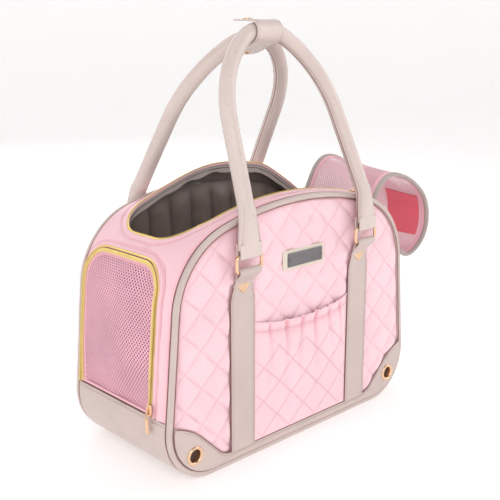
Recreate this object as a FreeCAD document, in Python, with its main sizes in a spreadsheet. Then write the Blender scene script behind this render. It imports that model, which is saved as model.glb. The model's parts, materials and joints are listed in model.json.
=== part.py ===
"""Soft-sided pet carrier bag, millimetres.

Origin: centre of the base on the ground. +Z up, the front face looks along -Y, the mesh door is
at the -X end and the folding top cover is hinged at the +X end.
"""
import FreeCAD, Part
import math
import os
import re

import Sketcher

V = FreeCAD.Vector
Rotation = FreeCAD.Rotation
Placement = FreeCAD.Placement
UP = V(0, 0, 1)
QUARTER = math.pi / 2

# Driving dimensions, in millimetres and degrees.
SIZES = {
    # side outline of the bag
    "half_length": 200,
    "foot_radius": 60.9,
    "side_lean": 0.0941,
    "bag_height": 292.6,
    "crown_radius": 405.85,
    "shoulder_radius": 96.24,
    # layers, counted in from the outline or out from the mid plane
    "gusset_half": 80.8,
    "shell_wall": 2,
    "panel_inner": 83,
    "panel_wall": 5,
    "panel_inset": 7.3,
    "piping_radius": 3.5,
    "piping_centre": 84.5,
    "board_inner": 81.2,
    "board_wall": 1.6,
    "board_inset": 8,
    "lining_inset": 4.6,
    "lining_wall": 1.2,
    "mesh_inset": 0.3,
    "mesh_wall": 1.4,
    "tape_wall": 1.3,
    "layer_gap": 0.1,
    "seam_gap": 0.2,
    # base band, corner patches and hanging eyelets
    "band_height": 76.5,
    "trim_height": 17.6,
    "trim_wall": 1.2,
    "patch_foot": 113,
    "patch_slope": 45,
    "patch_foot_radius": 25,
    "patch_crest_radius": 80.4,
    "patch_crest": 72.8,
    "eyelet_x": 166,
    "eyelet_z": 32,
    "eyelet_bore": 7,
    "eyelet_barrel": 8.5,
    "eyelet_flange": 11,
    "eyelet_hole": 8.7,
    "eyelet_outer": 91,
    "eyelet_inner": 78.2,
    "eyelet_lip": 1.4,
    "eyelet_washer": 1.2,
    "eyelet_drill": 4,
    # top opening
    "opening_half": 62,
    "opening_left": 155,
    "opening_right": 158,
    "opening_corner": 45,
    "opening_depth": 150,
    "zip_stop": 1,
    # end door and end window
    "door_middle": 7,
    "door_half": 66.5,
    "door_foot": 77,
    "door_top": 236,
    "door_corner": 30,
    "door_gap": 1,
    "zip_width": 3.7,
    "window_half": 55,
    "window_foot": 100,
    "window_top": 215,
    "window_corner": 20,
    "end_block_middle": 205,
    "end_block_depth": 110,
    # straps, rings and hearts
    "strap_x": 96.5,
    "strap_width": 35,
    "strap_foot": 18,
    "strap_top": 214,
    "strap_wall": 2.2,
    "strap_face": 88.2,
    "loop_width": 30,
    "loop_outer": 3.9,
    "loop_bore": 2.3,
    "ring_y": 100,
    "ring_low": 225.5,
    "ring_rise": 17.5,
    "ring_width": 36,
    "ring_wire": 2,
    "heart_z": 208,
    "heart_across": 3.7,
    "heart_lobe": 4.2,
    "heart_tip": 8.6,
    "heart_wall": 2,
    # handles: a short upright leg over the ring's upper bar, then an arch that leans inwards
    "handle_foot": 18.5,
    "handle_bend": 32,
    "handle_half": 96.4,
    "handle_lean": 0.1,
    "handle_rise": 212.5,
    "handle_crown": 60,
    "handle_side": 130,
    "handle_radius": 9,
    "core_radius": 6,
    "core_room": 6.2,
    "tab_wall": 4.4,
    "tab_gap": 1.5,
    "front_tilt": 22,
    "back_tilt": 27.1,
    # keeper wrap
    "keeper_length": 40,
    "keeper_bore": 11.6,
    "keeper_drop": 2.1,
    "keeper_wall": 1.7,
    "keeper_upper_end": 12,
    "keeper_lower_end": 41,
    "snap_radius": 6,
    "snap_height": 2,
    "snap_edge": 1,
    # front pocket and name patch
    "pocket_half": 78.5,
    "pocket_top": 160,
    "pocket_sag": 8,
    "pocket_face": 98,
    "pocket_wall": 1.2,
    "pocket_clear": 20,
    "elastic_height": 7,
    "elastic_wall": 0.8,
    "patch_half": 33.6,
    "patch_low": 210,
    "patch_high": 232.6,
    "patch_corner": 2,
    "plate_half": 25,
    "plate_low": 214,
    "plate_high": 228,
    "plate_corner": 3,
    # inside
    "base_half": 135,
    "base_depth": 79,
    "base_low": 2.2,
    "base_wall": 2,
    "mat_half": 140,
    "mat_depth": 75,
    "mat_low": 6.4,
    "mat_wall": 12,
    # zip sliders
    "slider_width": 8,
    "slider_length": 14,
    "slider_wall": 3,
    "pull_length": 22,
    "pull_width": 6,
    "pull_wall": 1.2,
    "slider_foot": 2,
    "slider_side_gap": 0.4,
    "pull_gap": 0.7,
    "pull_lap": 2,
    "rim_pull_gap": 0.3,
    "rim_slider_x": 118,
    # folding top cover
    "flap_half": 58,
    "flap_wall": 2.4,
    "flap_fold": 55.5,
    "flap_end": 48,
    "flap_gap": 1.4,
    "flap_corner": 42,
    "flap_hinge_z": 253.5,
}
# Direction of each fold of the top cover as it lies rolled back, in degrees up from +X.
FLAP_DIRECTIONS = (53, -13, -40, -88, -150, -235)

os.makedirs("parts", exist_ok=True)
doc = FreeCAD.newDocument("PetCarrier")
sheet = doc.addObject("Spreadsheet::Sheet", "Sizes")
for row, (name, value) in enumerate(SIZES.items(), 1):
    sheet.set(f"A{row}", name)
    sheet.set(f"B{row}", str(value))
    sheet.setAlias(f"B{row}", name)
doc.recompute()

nodes = []


def size(name):
    """A driving dimension, read from the sheet."""
    return float(sheet.get(name))


def rule(text):
    """A rule in sheet names, written the way an expression needs it."""
    return re.sub(r"[a-z_]+", lambda word: "Sizes." + word.group(), str(text))


def bind(item, **rules):
    """Binds properties of an object to the sheet."""
    for name, text in rules.items():
        item.setExpression(name, rule(text))


def set_base(item, place):
    """Binds where an object stands."""
    for axis, text in zip("xyz", place):
        if text != 0:
            item.setExpression(f".Placement.Base.{axis}", rule(text))


def node(label, item):
    """Marks an object as a finished piece of the bag."""
    item.Label = label
    nodes.append(item)
    return item


# ---------------------------------------------------------------- outlines

def line(start, end):
    return Part.LineSegment(V(start[0], start[1], 0), V(end[0], end[1], 0))


def arc(centre, radius, start, end):
    return Part.ArcOfCircle(Part.Circle(V(centre[0], centre[1], 0), UP, radius), start, end)


def polar(centre, radius, angle):
    return (centre[0] + radius * math.cos(angle), centre[1] + radius * math.sin(angle))


def polygon(points):
    return [line(a, b) for a, b in zip(points, points[1:] + points[:1])]


def circle(centre, radius):
    return [Part.Circle(V(centre[0], centre[1], 0), UP, radius)]


def rounded(left, right, low, high, corner, foot_corner=0):
    """A rectangle with rounded upper corners and rounded or square lower ones."""
    loop = [
        line((right, low + foot_corner), (right, high - corner)),
        arc((right - corner, high - corner), corner, 0, QUARTER),
        line((right - corner, high), (left + corner, high)),
        arc((left + corner, high - corner), corner, QUARTER, 2 * QUARTER),
        line((left, high - corner), (left, low + foot_corner)),
    ]
    if foot_corner:
        loop.append(arc((left + foot_corner, low + foot_corner), foot_corner, 2 * QUARTER, 3 * QUARTER))
    loop.append(line((left + foot_corner, low), (right - foot_corner, low)))
    if foot_corner:
        loop.append(arc((right - foot_corner, low + foot_corner), foot_corner, 3 * QUARTER, 4 * QUARTER))
    return loop


class Arch:
    """A leaning side line, a side arc and a crown arc, all tangent, symmetric about x = 0."""

    def __init__(self, half, low, lean, height, crown, side):
        self.crown = crown
        self.side = side
        self.angle = math.atan(lean)
        self.normal = (math.cos(self.angle), math.sin(self.angle))
        self.reach = self.normal[0] * half + self.normal[1] * low
        self.crown_centre = (0, height - crown)
        along = (-self.normal[1], self.normal[0])
        base = [self.normal[i] * (self.reach - side) for i in range(2)]
        offset = [base[i] - self.crown_centre[i] for i in range(2)]
        run = offset[0] * along[0] + offset[1] * along[1]
        rest = offset[0] ** 2 + offset[1] ** 2 - (crown - side) ** 2
        # The side arc touches the crown arc from inside, or holds it when it is the larger one.
        order = 1 if crown > side else -1
        step = -run + order * math.sqrt(run * run - rest)
        self.side_centre = (base[0] + step * along[0], base[1] + step * along[1])
        gap = [order * (self.side_centre[i] - self.crown_centre[i]) for i in range(2)]
        self.meet = math.atan2(gap[1], gap[0])

    def side_x(self, height, out=0):
        """Half width on the side line at a height, moved out square to the line."""
        return (self.reach + out - self.normal[1] * height) / self.normal[0]

    def over(self, inset, right_foot):
        """Right side line, arcs over the top and left side line, moved in by inset."""
        centre = self.side_centre
        mirrored = (-centre[0], centre[1])
        side = self.side - inset
        crown = self.crown - inset
        top_of_line = polar(centre, side, self.angle)
        flip = math.pi
        return [
            line(right_foot, top_of_line),
            arc(centre, side, self.angle, self.meet),
            arc(self.crown_centre, crown, self.meet, flip - self.meet),
            arc(mirrored, side, flip - self.meet, flip - self.angle),
            line((-top_of_line[0], top_of_line[1]), (-right_foot[0], right_foot[1])),
        ]


BAG = Arch(size("half_length"), size("foot_radius"), size("side_lean"), size("bag_height"),
           size("crown_radius"), size("shoulder_radius"))
HANDLE = Arch(size("handle_half"), 0, size("handle_lean"), size("handle_rise"),
              size("handle_crown"), size("handle_side"))


def outline(inset):
    """The bag's closed side outline, starting at the middle of the base, moved in by inset."""
    radius = size("foot_radius")
    foot_x = (BAG.reach - radius - BAG.normal[1] * radius) / BAG.normal[0]
    corner = radius - inset
    right_foot = polar((foot_x, radius), corner, BAG.angle)
    return (
        [line((0, inset), (foot_x, inset)), arc((foot_x, radius), corner, -QUARTER, BAG.angle)]
        + BAG.over(inset, right_foot)
        + [arc((-foot_x, radius), corner, math.pi - BAG.angle, 3 * QUARTER),
           line((-foot_x, inset), (0, inset))]
    )


def heart(across, radius, tip):
    """A heart: two round lobes across either side of the middle and a point tip below it."""
    span = math.hypot(across, tip)
    touch = math.atan2(-tip, -across) + math.acos(radius / span)
    notch = math.acos(-across / radius)
    low = (0, -tip)
    right = polar((across, 0), radius, touch)
    return [
        line(low, right),
        arc((across, 0), radius, touch, notch),
        arc((-across, 0), radius, math.pi - notch, math.pi - touch),
        line((-right[0], right[1]), low),
    ]


# ---------------------------------------------------------------- solids

def draw(body, name, plane, loops, lift=0):
    """A sketch of closed loops on one of the body's own origin planes."""
    sketch = body.newObject("Sketcher::SketchObject", name)
    origin_plane = next(item for item in body.Origin.OriginFeatures if item.Role == plane)
    sketch.AttachmentSupport = [(origin_plane, "")]
    sketch.MapMode = "FlatFace"
    sketch.AttachmentOffset = Placement(V(0, 0, lift), Rotation())
    for loop in loops:
        first = sketch.GeometryCount
        sketch.addGeometry(loop, False)
        for index in range(first, sketch.GeometryCount):
            item = loop[index - first]
            if not isinstance(item, Part.LineSegment):
                sketch.addConstraint(Sketcher.Constraint("Radius", index, item.Radius))
    return sketch


def padded(name, plane, loops, depth, place=(0, 0, 0)):
    """A body padded from loops; XZ sketches grow towards -Y, YZ ones to +X and XY ones to +Z."""
    body = doc.addObject("PartDesign::Body", name)
    pad = body.newObject("PartDesign::Pad", name + "_pad")
    pad.Profile = draw(body, name + "_sketch", plane, loops)
    pad.setExpression("Length", rule(depth))
    body.Tip = pad
    set_base(body, place)
    return body


def piped(name, path, loops, profile_plane, lift=0):
    """A body swept along a path in its XZ plane."""
    body = doc.addObject("PartDesign::Body", name)
    pipe = body.newObject("PartDesign::AdditivePipe", name + "_pipe")
    pipe.Profile = draw(body, name + "_profile", profile_plane, loops, lift)
    pipe.Spine = draw(body, name + "_path", "XZ_Plane", [path])
    body.Tip = pipe
    return body


def block(name, length, width, height, place):
    item = doc.addObject("Part::Box", name)
    bind(item, Length=length, Width=width, Height=height)
    set_base(item, place)
    return item


def rod(name, radius, length, axis, place):
    """A round bar that starts at place and runs along axis."""
    item = doc.addObject("Part::Cylinder", name)
    bind(item, Radius=radius, Height=length)
    item.Placement = Placement(V(), Rotation(UP, axis))
    set_base(item, place)
    return item


def combined(kind, name, shapes):
    item = doc.addObject(kind, name)
    if kind == "Part::Compound":
        item.Links = shapes
    else:
        item.Shapes = shapes
    return item


def fused(name, *shapes):
    return combined("Part::MultiFuse", name, list(shapes))


def shared(name, *shapes):
    return combined("Part::MultiCommon", name, list(shapes))


def group(name, shapes):
    return combined("Part::Compound", name, list(shapes))


def cut(name, base, *tools):
    item = doc.addObject("Part::Cut", name)
    item.Base = base
    item.Tool = tools[0] if len(tools) == 1 else fused(name + "_tools", *tools)
    return item


SIDES = (("front", -1), ("back", 1))
ENDS = (("left", -1), ("right", 1))
FAR = 400


def face_slab(name, loops, inner, wall, side):
    """A slab on the front or back of the bag, from its inner face outwards."""
    outer = f"{inner} + {wall}"
    return padded(name, "XZ_Plane", loops, wall, (0, f"-({inner})" if side < 0 else outer, 0))


def face_rod(name, radius, inner, outer, side, spot):
    """A round bar through the front or back face."""
    place = (spot[0], f"{side} * ({inner})", spot[1])
    return rod(name, radius, f"({outer}) - ({inner})", V(0, side, 0), place)


def shell_layer(name, outer, inner, half="gusset_half"):
    """A skin that runs round the ends, base and top of the bag between two insets."""
    return padded(name, "XZ_Plane", [outline(outer), outline(inner)], f"2 * {half}", (0, half, 0))


# ---------------------------------------------------------------- openings

def opening_space(name, margin):
    """A block over the top opening, smaller by margin; its left corners are round."""
    left = -size("opening_left") + margin
    right = size("opening_right") - max(margin, 0)
    half = size("opening_half") - margin
    corner = size("opening_corner") - margin
    loop = [
        line((right, -half), (right, half)),
        line((right, half), (left + corner, half)),
        arc((left + corner, half - corner), corner, QUARTER, 2 * QUARTER),
        line((left, half - corner), (left, corner - half)),
        arc((left + corner, corner - half), corner, 2 * QUARTER, 3 * QUARTER),
        line((left + corner, -half), (right, -half)),
    ]
    return padded(name, "XY_Plane", [loop], "opening_depth", (0, 0, "bag_height - opening_depth / 2"))


def door_loop(margin, low):
    """The door's outline, smaller by margin at its sides and top, from a height upwards."""
    middle = size("door_middle")
    half = size("door_half") - margin
    return rounded(middle - half, middle + half, low, size("door_top") - margin, size("door_corner") - margin)


def end_block(name, loop, side):
    """A block from a loop in the YZ plane, through one end wall of the bag."""
    start = f"{side} * end_block_middle - end_block_depth / 2"
    return padded(name, "YZ_Plane", [loop], "end_block_depth", (start, 0, 0))


def door_space(name, margin):
    """A block through the end door, smaller by margin."""
    return end_block(name, door_loop(margin, size("door_foot") + max(margin, 0) / 2), -1)


def window_space(name, margin):
    """A block through the end window, smaller by margin."""
    half = size("window_half") - margin
    corner = size("window_corner") - margin
    loop = rounded(-half, half, size("window_foot") + margin, size("window_top") - margin, corner, corner)
    return end_block(name, loop, 1)


def end_zone(name, side, edge, low):
    """A block over one end of the bag, from an edge outwards and from a height upwards."""
    start = f"-{FAR} - {edge} - seam_gap" if side < 0 else f"{edge} + seam_gap"
    return block(name, FAR, FAR, FAR, (start, -FAR / 2, low))


opening = opening_space("opening", 0)
doorway = door_space("doorway", 0)
window = window_space("window", 0)


# ---------------------------------------------------------------- body of the bag

def eyelet_holes(name, side):
    """The two holes that the eyelets go through on one face."""
    near = "eyelet_inner - eyelet_drill"
    far = "eyelet_outer + eyelet_drill"
    return [face_rod(f"{name}_{end}", "eyelet_hole", near, far, side, (f"{sign} * eyelet_x", "eyelet_z"))
            for end, sign in ENDS]


def build_shell():
    """Base band, both end panels and the two strips beside the top opening."""
    shell = shell_layer("shell", 0, size("shell_wall"))
    low = block("band_zone", 2 * FAR, FAR, "2 * band_height", (-FAR, -FAR / 2, "-band_height"))
    node("base_band", shared("band", shell, low))
    above = "band_height + seam_gap"
    left = shared("left_end", shell, end_zone("left_zone", -1, "opening_left", above))
    node("left_end_panel", cut("left_panel", left, doorway))
    right = shared("right_end", shell, end_zone("right_zone", 1, "opening_right", above))
    node("right_end_panel", cut("right_panel", right, window))
    for name, side in SIDES:
        start = f"-{FAR} / 2 - seam_gap" if side < 0 else "seam_gap"
        zone = block(f"{name}_rim_zone", "opening_left + opening_right", FAR / 2, FAR / 2,
                     ("-opening_left", start, FAR / 2))
        node(f"{name}_rim_strip", cut(f"{name}_rim", shared(f"{name}_rim_band", shell, zone), opening))


def build_faces():
    """Quilted panels, stiffening boards, piping and base trim of both large faces."""
    inset = size("panel_inset")
    clear = trim_clearance()
    for name, side in SIDES:
        panel = face_slab(f"{name}_face", [outline(inset)], "panel_inner", "panel_wall", side)
        node(f"{name}_panel", cut(f"{name}_face_cut", panel, *eyelet_holes(f"{name}_face_hole", side)))
        board = face_slab(f"{name}_sheet", [outline(size("board_inset"))], "board_inner", "board_wall", side)
        node(f"{name}_board", cut(f"{name}_sheet_cut", board, *eyelet_holes(f"{name}_sheet_hole", side)))
        trim = face_slab(f"{name}_trim", [outline(inset)], "strap_face", "trim_wall", side)
        tools = eyelet_holes(f"{name}_trim_hole", side)
        above = padded(f"{name}_trim_clear", "XZ_Plane", [clear], FAR, (0, 0 if side < 0 else FAR, 0))
        node(f"{name}_base_trim", cut(f"{name}_trim_cut", trim, above, *tools))
        radius = size("piping_radius")
        cord = piped(f"{name}_cord", outline(radius), [circle((0, radius), radius)], "YZ_Plane")
        set_base(cord, (0, f"{side} * piping_centre", 0))
        node(f"{name}_piping", cord)


def trim_clearance():
    """Everything above the base trim: a low middle and a slope up to each corner patch, bent at both ends."""
    low = size("trim_height")
    high = size("patch_crest")
    inner = size("patch_foot")
    foot = size("patch_foot_radius")
    crest = size("patch_crest_radius")
    sweep = math.radians(size("patch_slope"))
    slope_foot = (inner + foot * math.sin(sweep), low + foot * (1 - math.cos(sweep)))
    slope_top = high - crest * (1 - math.cos(sweep))
    slope_run = (slope_top - slope_foot[1]) / math.tan(sweep)
    outer = slope_foot[0] + slope_run + crest * math.sin(sweep)
    slope_head = (slope_foot[0] + slope_run, slope_top)
    return [
        arc((inner, low + foot), foot, -QUARTER, sweep - QUARTER),
        line(slope_foot, slope_head),
        arc((outer, high - crest), crest, QUARTER, QUARTER + sweep),
        line((outer, high), (FAR, high)),
        line((FAR, high), (FAR, FAR)),
        line((FAR, FAR), (-FAR, FAR)),
        line((-FAR, FAR), (-FAR, high)),
        line((-FAR, high), (-outer, high)),
        arc((-outer, high - crest), crest, QUARTER - sweep, QUARTER),
        line((-slope_head[0], slope_head[1]), (-slope_foot[0], slope_foot[1])),
        arc((-inner, low + foot), foot, 3 * QUARTER - sweep, 3 * QUARTER),
        line((-inner, low), (inner, low)),
    ]


def build_eyelets():
    """Rolled metal eyelets, one solid each, that clamp face, board and lining together."""
    eyelets = []
    for name, side in SIDES:
        for end, sign in ENDS:
            spot = (f"{sign} * eyelet_x", "eyelet_z")
            label = f"eyelet_{name}_{end}"
            outer = face_rod(label + "_cap", "eyelet_flange", "eyelet_outer - eyelet_lip",
                             "eyelet_outer", side, spot)
            barrel = face_rod(label + "_barrel", "eyelet_barrel", "eyelet_inner", "eyelet_outer", side, spot)
            inner = face_rod(label + "_washer", "eyelet_flange", "eyelet_inner",
                             "eyelet_inner + eyelet_washer", side, spot)
            bore = face_rod(label + "_bore", "eyelet_bore", "eyelet_inner - eyelet_drill",
                            "eyelet_outer + eyelet_drill", side, spot)
            eyelets.append(cut(label, fused(label + "_body", outer, barrel, inner), bore))
    node("eyelets", group("eyelet_set", eyelets))


def build_inside():
    """Lining, base board and the loose mat."""
    inset = size("lining_inset")
    wall = size("lining_wall")
    outer = padded("lining_outer", "XZ_Plane", [outline(inset)], "2 * gusset_half", (0, "gusset_half", 0))
    inner = padded("lining_inner", "XZ_Plane", [outline(inset + wall)], "2 * gusset_half - 2 * lining_wall",
                   (0, "gusset_half - lining_wall", 0))
    holes = [hole for name, side in SIDES for hole in eyelet_holes(f"{name}_lining_hole", side)]
    node("lining", cut("lining_cut", outer, inner, opening, doorway, window, *holes))
    node("base_board", block("base_sheet", "2 * base_half", "2 * base_depth", "base_wall",
                             ("-base_half", "-base_depth", "base_low")))
    node("mat", block("mat_pad", "2 * mat_half", "2 * mat_depth", "mat_wall",
                      ("-mat_half", "-mat_depth", "mat_low")))


def build_pocket():
    """Front pocket with its elastic hem, and the sewn name patch with a blank plate."""
    half = size("pocket_half")
    foot = size("strap_foot")
    node("pocket", cut(
        "pocket_shell",
        face_slab("pocket_block", [sagging(half, foot, 0, 0)], "strap_face", "pocket_face - strap_face", -1),
        padded("pocket_room", "XZ_Plane",
               [sagging(half - size("pocket_wall"), foot + size("pocket_wall"), size("pocket_clear"), 0)],
               "pocket_clear", (0, "-pocket_face + pocket_wall + pocket_clear", 0)),
    ))
    node("pocket_elastic", face_slab(
        "pocket_hem", [sagging(half, size("pocket_top") - size("elastic_height"), 0, size("pocket_sag"))],
        "pocket_face + layer_gap", "elastic_wall", -1))
    for name, face in (("patch", "strap_face"), ("plate", "strap_face + trim_wall + layer_gap")):
        half = size(f"{name}_half")
        corner = size(f"{name}_corner")
        loop = rounded(-half, half, size(f"{name}_low"), size(f"{name}_high"), corner, corner)
        node(f"name_{name}", face_slab(name, [loop], face, "trim_wall", -1))


def sagging(half, foot, lift, foot_sag):
    """A rectangle whose top edge, and its foot if foot_sag is given, sags in the middle."""
    top = size("pocket_top") + lift
    bow = size("pocket_sag")
    radius = (half ** 2 + bow ** 2) / (2 * bow)
    spread = math.asin(half / radius)
    centre = (0, top - bow + radius)
    loop = [
        line((half, foot), (half, top)),
        arc(centre, radius, 3 * QUARTER - spread, 3 * QUARTER + spread),
        line((-half, top), (-half, foot)),
    ]
    if foot_sag:
        loop.append(arc((0, foot - bow + radius), radius, 3 * QUARTER - spread, 3 * QUARTER + spread))
    else:
        loop.append(line((-half, foot), (half, foot)))
    return loop


# ---------------------------------------------------------------- ends

def build_ends():
    """Mesh door and its zip at the left end, mesh window at the right end."""
    inset = size("mesh_inset")
    skin = shell_layer("mesh_skin", inset, inset + size("mesh_wall"))
    door = shared("door_sheet", skin, door_space("door_edge", size("door_gap")))
    node("door_panel", door)
    node("right_window_mesh", shared("window_sheet", skin, window_space("window_edge", size("seam_gap"))))
    gap = size("layer_gap")
    tape = shell_layer("tape_skin", -gap - size("tape_wall"), -gap)
    width = size("zip_width")
    frame_outer = door_space("frame_zip_outer", -gap - width)
    frame_inner = door_space("frame_zip_inner", -gap)
    node("door_zip_frame", cut("frame_zip", shared("frame_zip_band", tape, frame_outer), frame_inner))
    edge = size("door_gap") + gap
    leaf_outer = door_space("leaf_zip_outer", edge)
    leaf_inner = cut_foot("leaf_zip_inner", edge + width)
    node("door_zip", cut("leaf_zip", shared("leaf_zip_band", tape, leaf_outer), leaf_inner))
    rim_outer = opening_space("rim_zip_outer", -gap - width)
    rim_inner = opening_space("rim_zip_inner", -gap)
    hinge_end = block("rim_zip_end", FAR, FAR, FAR, ("opening_right - zip_stop", -FAR / 2, 0))
    node("rim_zip", cut("rim_zip_cut", shared("rim_zip_band", tape, rim_outer), rim_inner, hinge_end))


def cut_foot(name, margin):
    """The door's shape, smaller by margin at its sides and top and open at its foot."""
    return end_block(name, door_loop(margin, 0), -1)


# ---------------------------------------------------------------- straps, rings and hearts

def strap(name, side, sign):
    """A sewn webbing strap whose top leaves the face and loops round the ring's lower bar."""
    face = "strap_face" if side > 0 else "-strap_face - strap_wall"
    centre = f"{sign} * strap_x"
    flat = block(name + "_flat", "strap_width", "strap_wall", "strap_top - strap_foot",
                 (f"{centre} - strap_width / 2", face, "strap_foot"))
    start = (size("strap_face") + size("strap_wall") / 2, size("strap_top"))
    bar = (size("ring_y"), size("ring_low"))
    run = (bar[0] - start[0], bar[1] - start[1])
    length = math.hypot(*run)
    across = (run[1] / length * size("strap_wall") / 2, -run[0] / length * size("strap_wall") / 2)
    below = (start[0] - size("strap_wall") / 2, start[1] - size("strap_wall"))
    points = [
        below,
        (below[0] + size("strap_wall"), below[1]),
        (start[0] + across[0], start[1] + across[1]),
        (bar[0] + across[0], bar[1] + across[1]),
        (bar[0] - across[0], bar[1] - across[1]),
        (start[0] - across[0], start[1] - across[1]),
    ]
    neck = padded(name + "_neck", "YZ_Plane", [polygon([(side * y, z) for y, z in points])], "loop_width",
                  (f"{centre} - loop_width / 2", 0, 0))
    bar_place = (f"{centre} - loop_width / 2", f"{side} * ring_y", "ring_low")
    eye = rod(name + "_eye", "loop_outer", "loop_width", V(1, 0, 0), bar_place)
    bore = rod(name + "_bore", "loop_bore", "loop_width", V(1, 0, 0), bar_place)
    return cut(name, fused(name + "_whole", flat, neck, eye), bore)


def ring(name, side, sign):
    """A rectangular wire ring: four round bars and four round corners."""
    left = f"{sign} * strap_x - ring_width / 2"
    right = f"{sign} * strap_x + ring_width / 2"
    deep = f"{side} * ring_y"
    high = "ring_low + ring_rise"
    pieces = [
        rod(name + "_low", "ring_wire", "ring_width", V(1, 0, 0), (left, deep, "ring_low")),
        rod(name + "_high", "ring_wire", "ring_width", V(1, 0, 0), (left, deep, high)),
        rod(name + "_left", "ring_wire", "ring_rise", UP, (left, deep, "ring_low")),
        rod(name + "_right", "ring_wire", "ring_rise", UP, (right, deep, "ring_low")),
    ]
    for index, place in enumerate(((left, "ring_low"), (left, high), (right, "ring_low"), (right, high))):
        ball = doc.addObject("Part::Sphere", f"{name}_corner_{index}")
        bind(ball, Radius="ring_wire")
        set_base(ball, (place[0], deep, place[1]))
        pieces.append(ball)
    return fused(name, *pieces)


def build_straps():
    hearts = []
    shape = heart(size("heart_across"), size("heart_lobe"), size("heart_tip"))
    for name, side in SIDES:
        node(f"{name}_straps", group(f"{name}_strap_pair", [strap(f"{name}_strap_{end}", side, sign)
                                                           for end, sign in ENDS]))
        node(f"{name}_rings", group(f"{name}_ring_pair", [ring(f"{name}_ring_{end}", side, sign)
                                                         for end, sign in ENDS]))
        for end, sign in ENDS:
            stud = face_slab(f"heart_{name}_{end}", [shape], "strap_face + strap_wall + seam_gap",
                             "heart_wall", side)
            set_base(stud, (f"{sign} * strap_x", 0, "heart_z"))
            hearts.append(stud)
    node("heart_studs", group("heart_set", hearts))


# ---------------------------------------------------------------- handles and keeper

def ring_pivot(side):
    """Centre of the ring's upper bar, which a handle swings about."""
    return V(0, side * size("ring_y"), size("ring_low") + size("ring_rise"))


def arch_place(side):
    """Where a handle's arch stands: at the bend over the leg, leaning in over the bag."""
    tilt = -size("front_tilt") if side < 0 else size("back_tilt")
    return Placement(ring_pivot(side) + V(0, 0, size("handle_bend")), Rotation(V(1, 0, 0), tilt))


def handle_rod(name, side, radius):
    """A round rod that follows the whole handle: two legs, a ball at each bend and the arch."""
    arch = piped(name + "_arch", HANDLE.over(0, (HANDLE.side_x(0), 0)),
                 [circle((HANDLE.side_x(0), 0), size(radius))], "XY_Plane")
    arch.Placement = arch_place(side)
    pieces = [arch]
    for end, sign in ENDS:
        bend = V(sign * size("handle_half"), side * size("ring_y"), arch_place(side).Base.z)
        drop = size("handle_bend") - size("handle_foot")
        foot = bend + V(sign * drop * size("handle_lean"), 0, -drop)
        leg = doc.addObject("Part::Cylinder", f"{name}_leg_{end}")
        bind(leg, Radius=radius)
        leg.Height = foot.distanceToPoint(bend)
        leg.Placement = Placement(foot, Rotation(UP, bend - foot))
        ball = doc.addObject("Part::Sphere", f"{name}_bend_{end}")
        bind(ball, Radius=f"{radius} + layer_gap")
        ball.Placement = Placement(bend, Rotation())
        pieces += [leg, ball]
    return fused(name, *pieces)


def handle_tab(name, sign):
    """The flat leather end of a handle, looped round the ring's upper bar."""
    left = f"{sign} * strap_x - loop_width / 2"
    flat = block(name + "_flat", "loop_width", "tab_wall", "handle_foot - tab_gap",
                 (left, "-tab_wall / 2", 0))
    eye = rod(name + "_eye", "loop_outer", "loop_width", V(1, 0, 0), (left, 0, 0))
    bore = rod(name + "_bore", "loop_bore", "loop_width", V(1, 0, 0), (left, 0, 0))
    return cut(name, fused(name + "_whole", flat, eye), bore)


def build_handles():
    for name, side in SIDES:
        whole = handle_rod(f"{name}_grip", side, "handle_radius")
        room = handle_rod(f"{name}_room", side, "core_room")
        node(f"{name}_handle", cut(f"{name}_cover", whole, room))
        node(f"{name}_handle_core", handle_rod(f"{name}_rope", side, "core_radius"))
        tabs = group(f"{name}_tab_pair", [handle_tab(f"{name}_tab_{end}", sign) for end, sign in ENDS])
        tabs.Placement = Placement(ring_pivot(side), Rotation())
        node(f"{name}_handle_tabs", tabs)


def build_keeper():
    """C-shaped wrap round the front grip with a flat upper tab and a sloping lower tab."""
    apex = arch_place(-1).multVec(V(0, 0, size("handle_rise")))
    arm = apex - ring_pivot(-1)
    slope = math.atan2(arm.y, arm.z)
    centre = (apex.y - size("keeper_drop") * math.sin(slope), apex.z - size("keeper_drop") * math.cos(slope))
    bore = size("keeper_bore")
    outer = bore + size("keeper_wall")
    turn = 3 * QUARTER - slope
    along = (math.cos(slope), -math.sin(slope))
    reach = size("keeper_lower_end")
    end = size("keeper_upper_end")
    low_inner = polar(centre, bore, turn)
    low_outer = polar(centre, outer, turn)
    tip_inner = (low_inner[0] + reach * along[0], low_inner[1] + reach * along[1])
    tip_outer = (low_outer[0] + reach * along[0], low_outer[1] + reach * along[1])
    top_inner = (centre[0], centre[1] + bore)
    top_outer = (centre[0], centre[1] + outer)
    loop = [
        line((end, top_inner[1]), top_inner),
        arc(centre, bore, QUARTER, turn),
        line(low_inner, tip_inner),
        line(tip_inner, tip_outer),
        line(tip_outer, low_outer),
        arc(centre, outer, QUARTER, turn),
        line(top_outer, (end, top_outer[1])),
        line((end, top_outer[1]), (end, top_inner[1])),
    ]
    node("keeper", padded("keeper_wrap", "YZ_Plane", [loop], "keeper_length", ("-keeper_length / 2", 0, 0)))
    gap = size("layer_gap")
    cap_y = end - size("snap_radius") - size("snap_edge")
    cap = rod("snap_cap", "snap_radius", "snap_height", UP, (0, cap_y, top_outer[1] + gap))
    down = V(0, math.cos(turn), math.sin(turn))
    back = size("snap_radius") + size("snap_edge")
    stud_y = tip_outer[0] - back * along[0] + gap * down.y
    stud_z = tip_outer[1] - back * along[1] + gap * down.z
    stud = rod("snap_stud", "snap_radius", "snap_height", down, (0, stud_y, stud_z))
    node("keeper_snaps", group("snap_pair", [cap, stud]))


# ---------------------------------------------------------------- zip sliders

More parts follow.
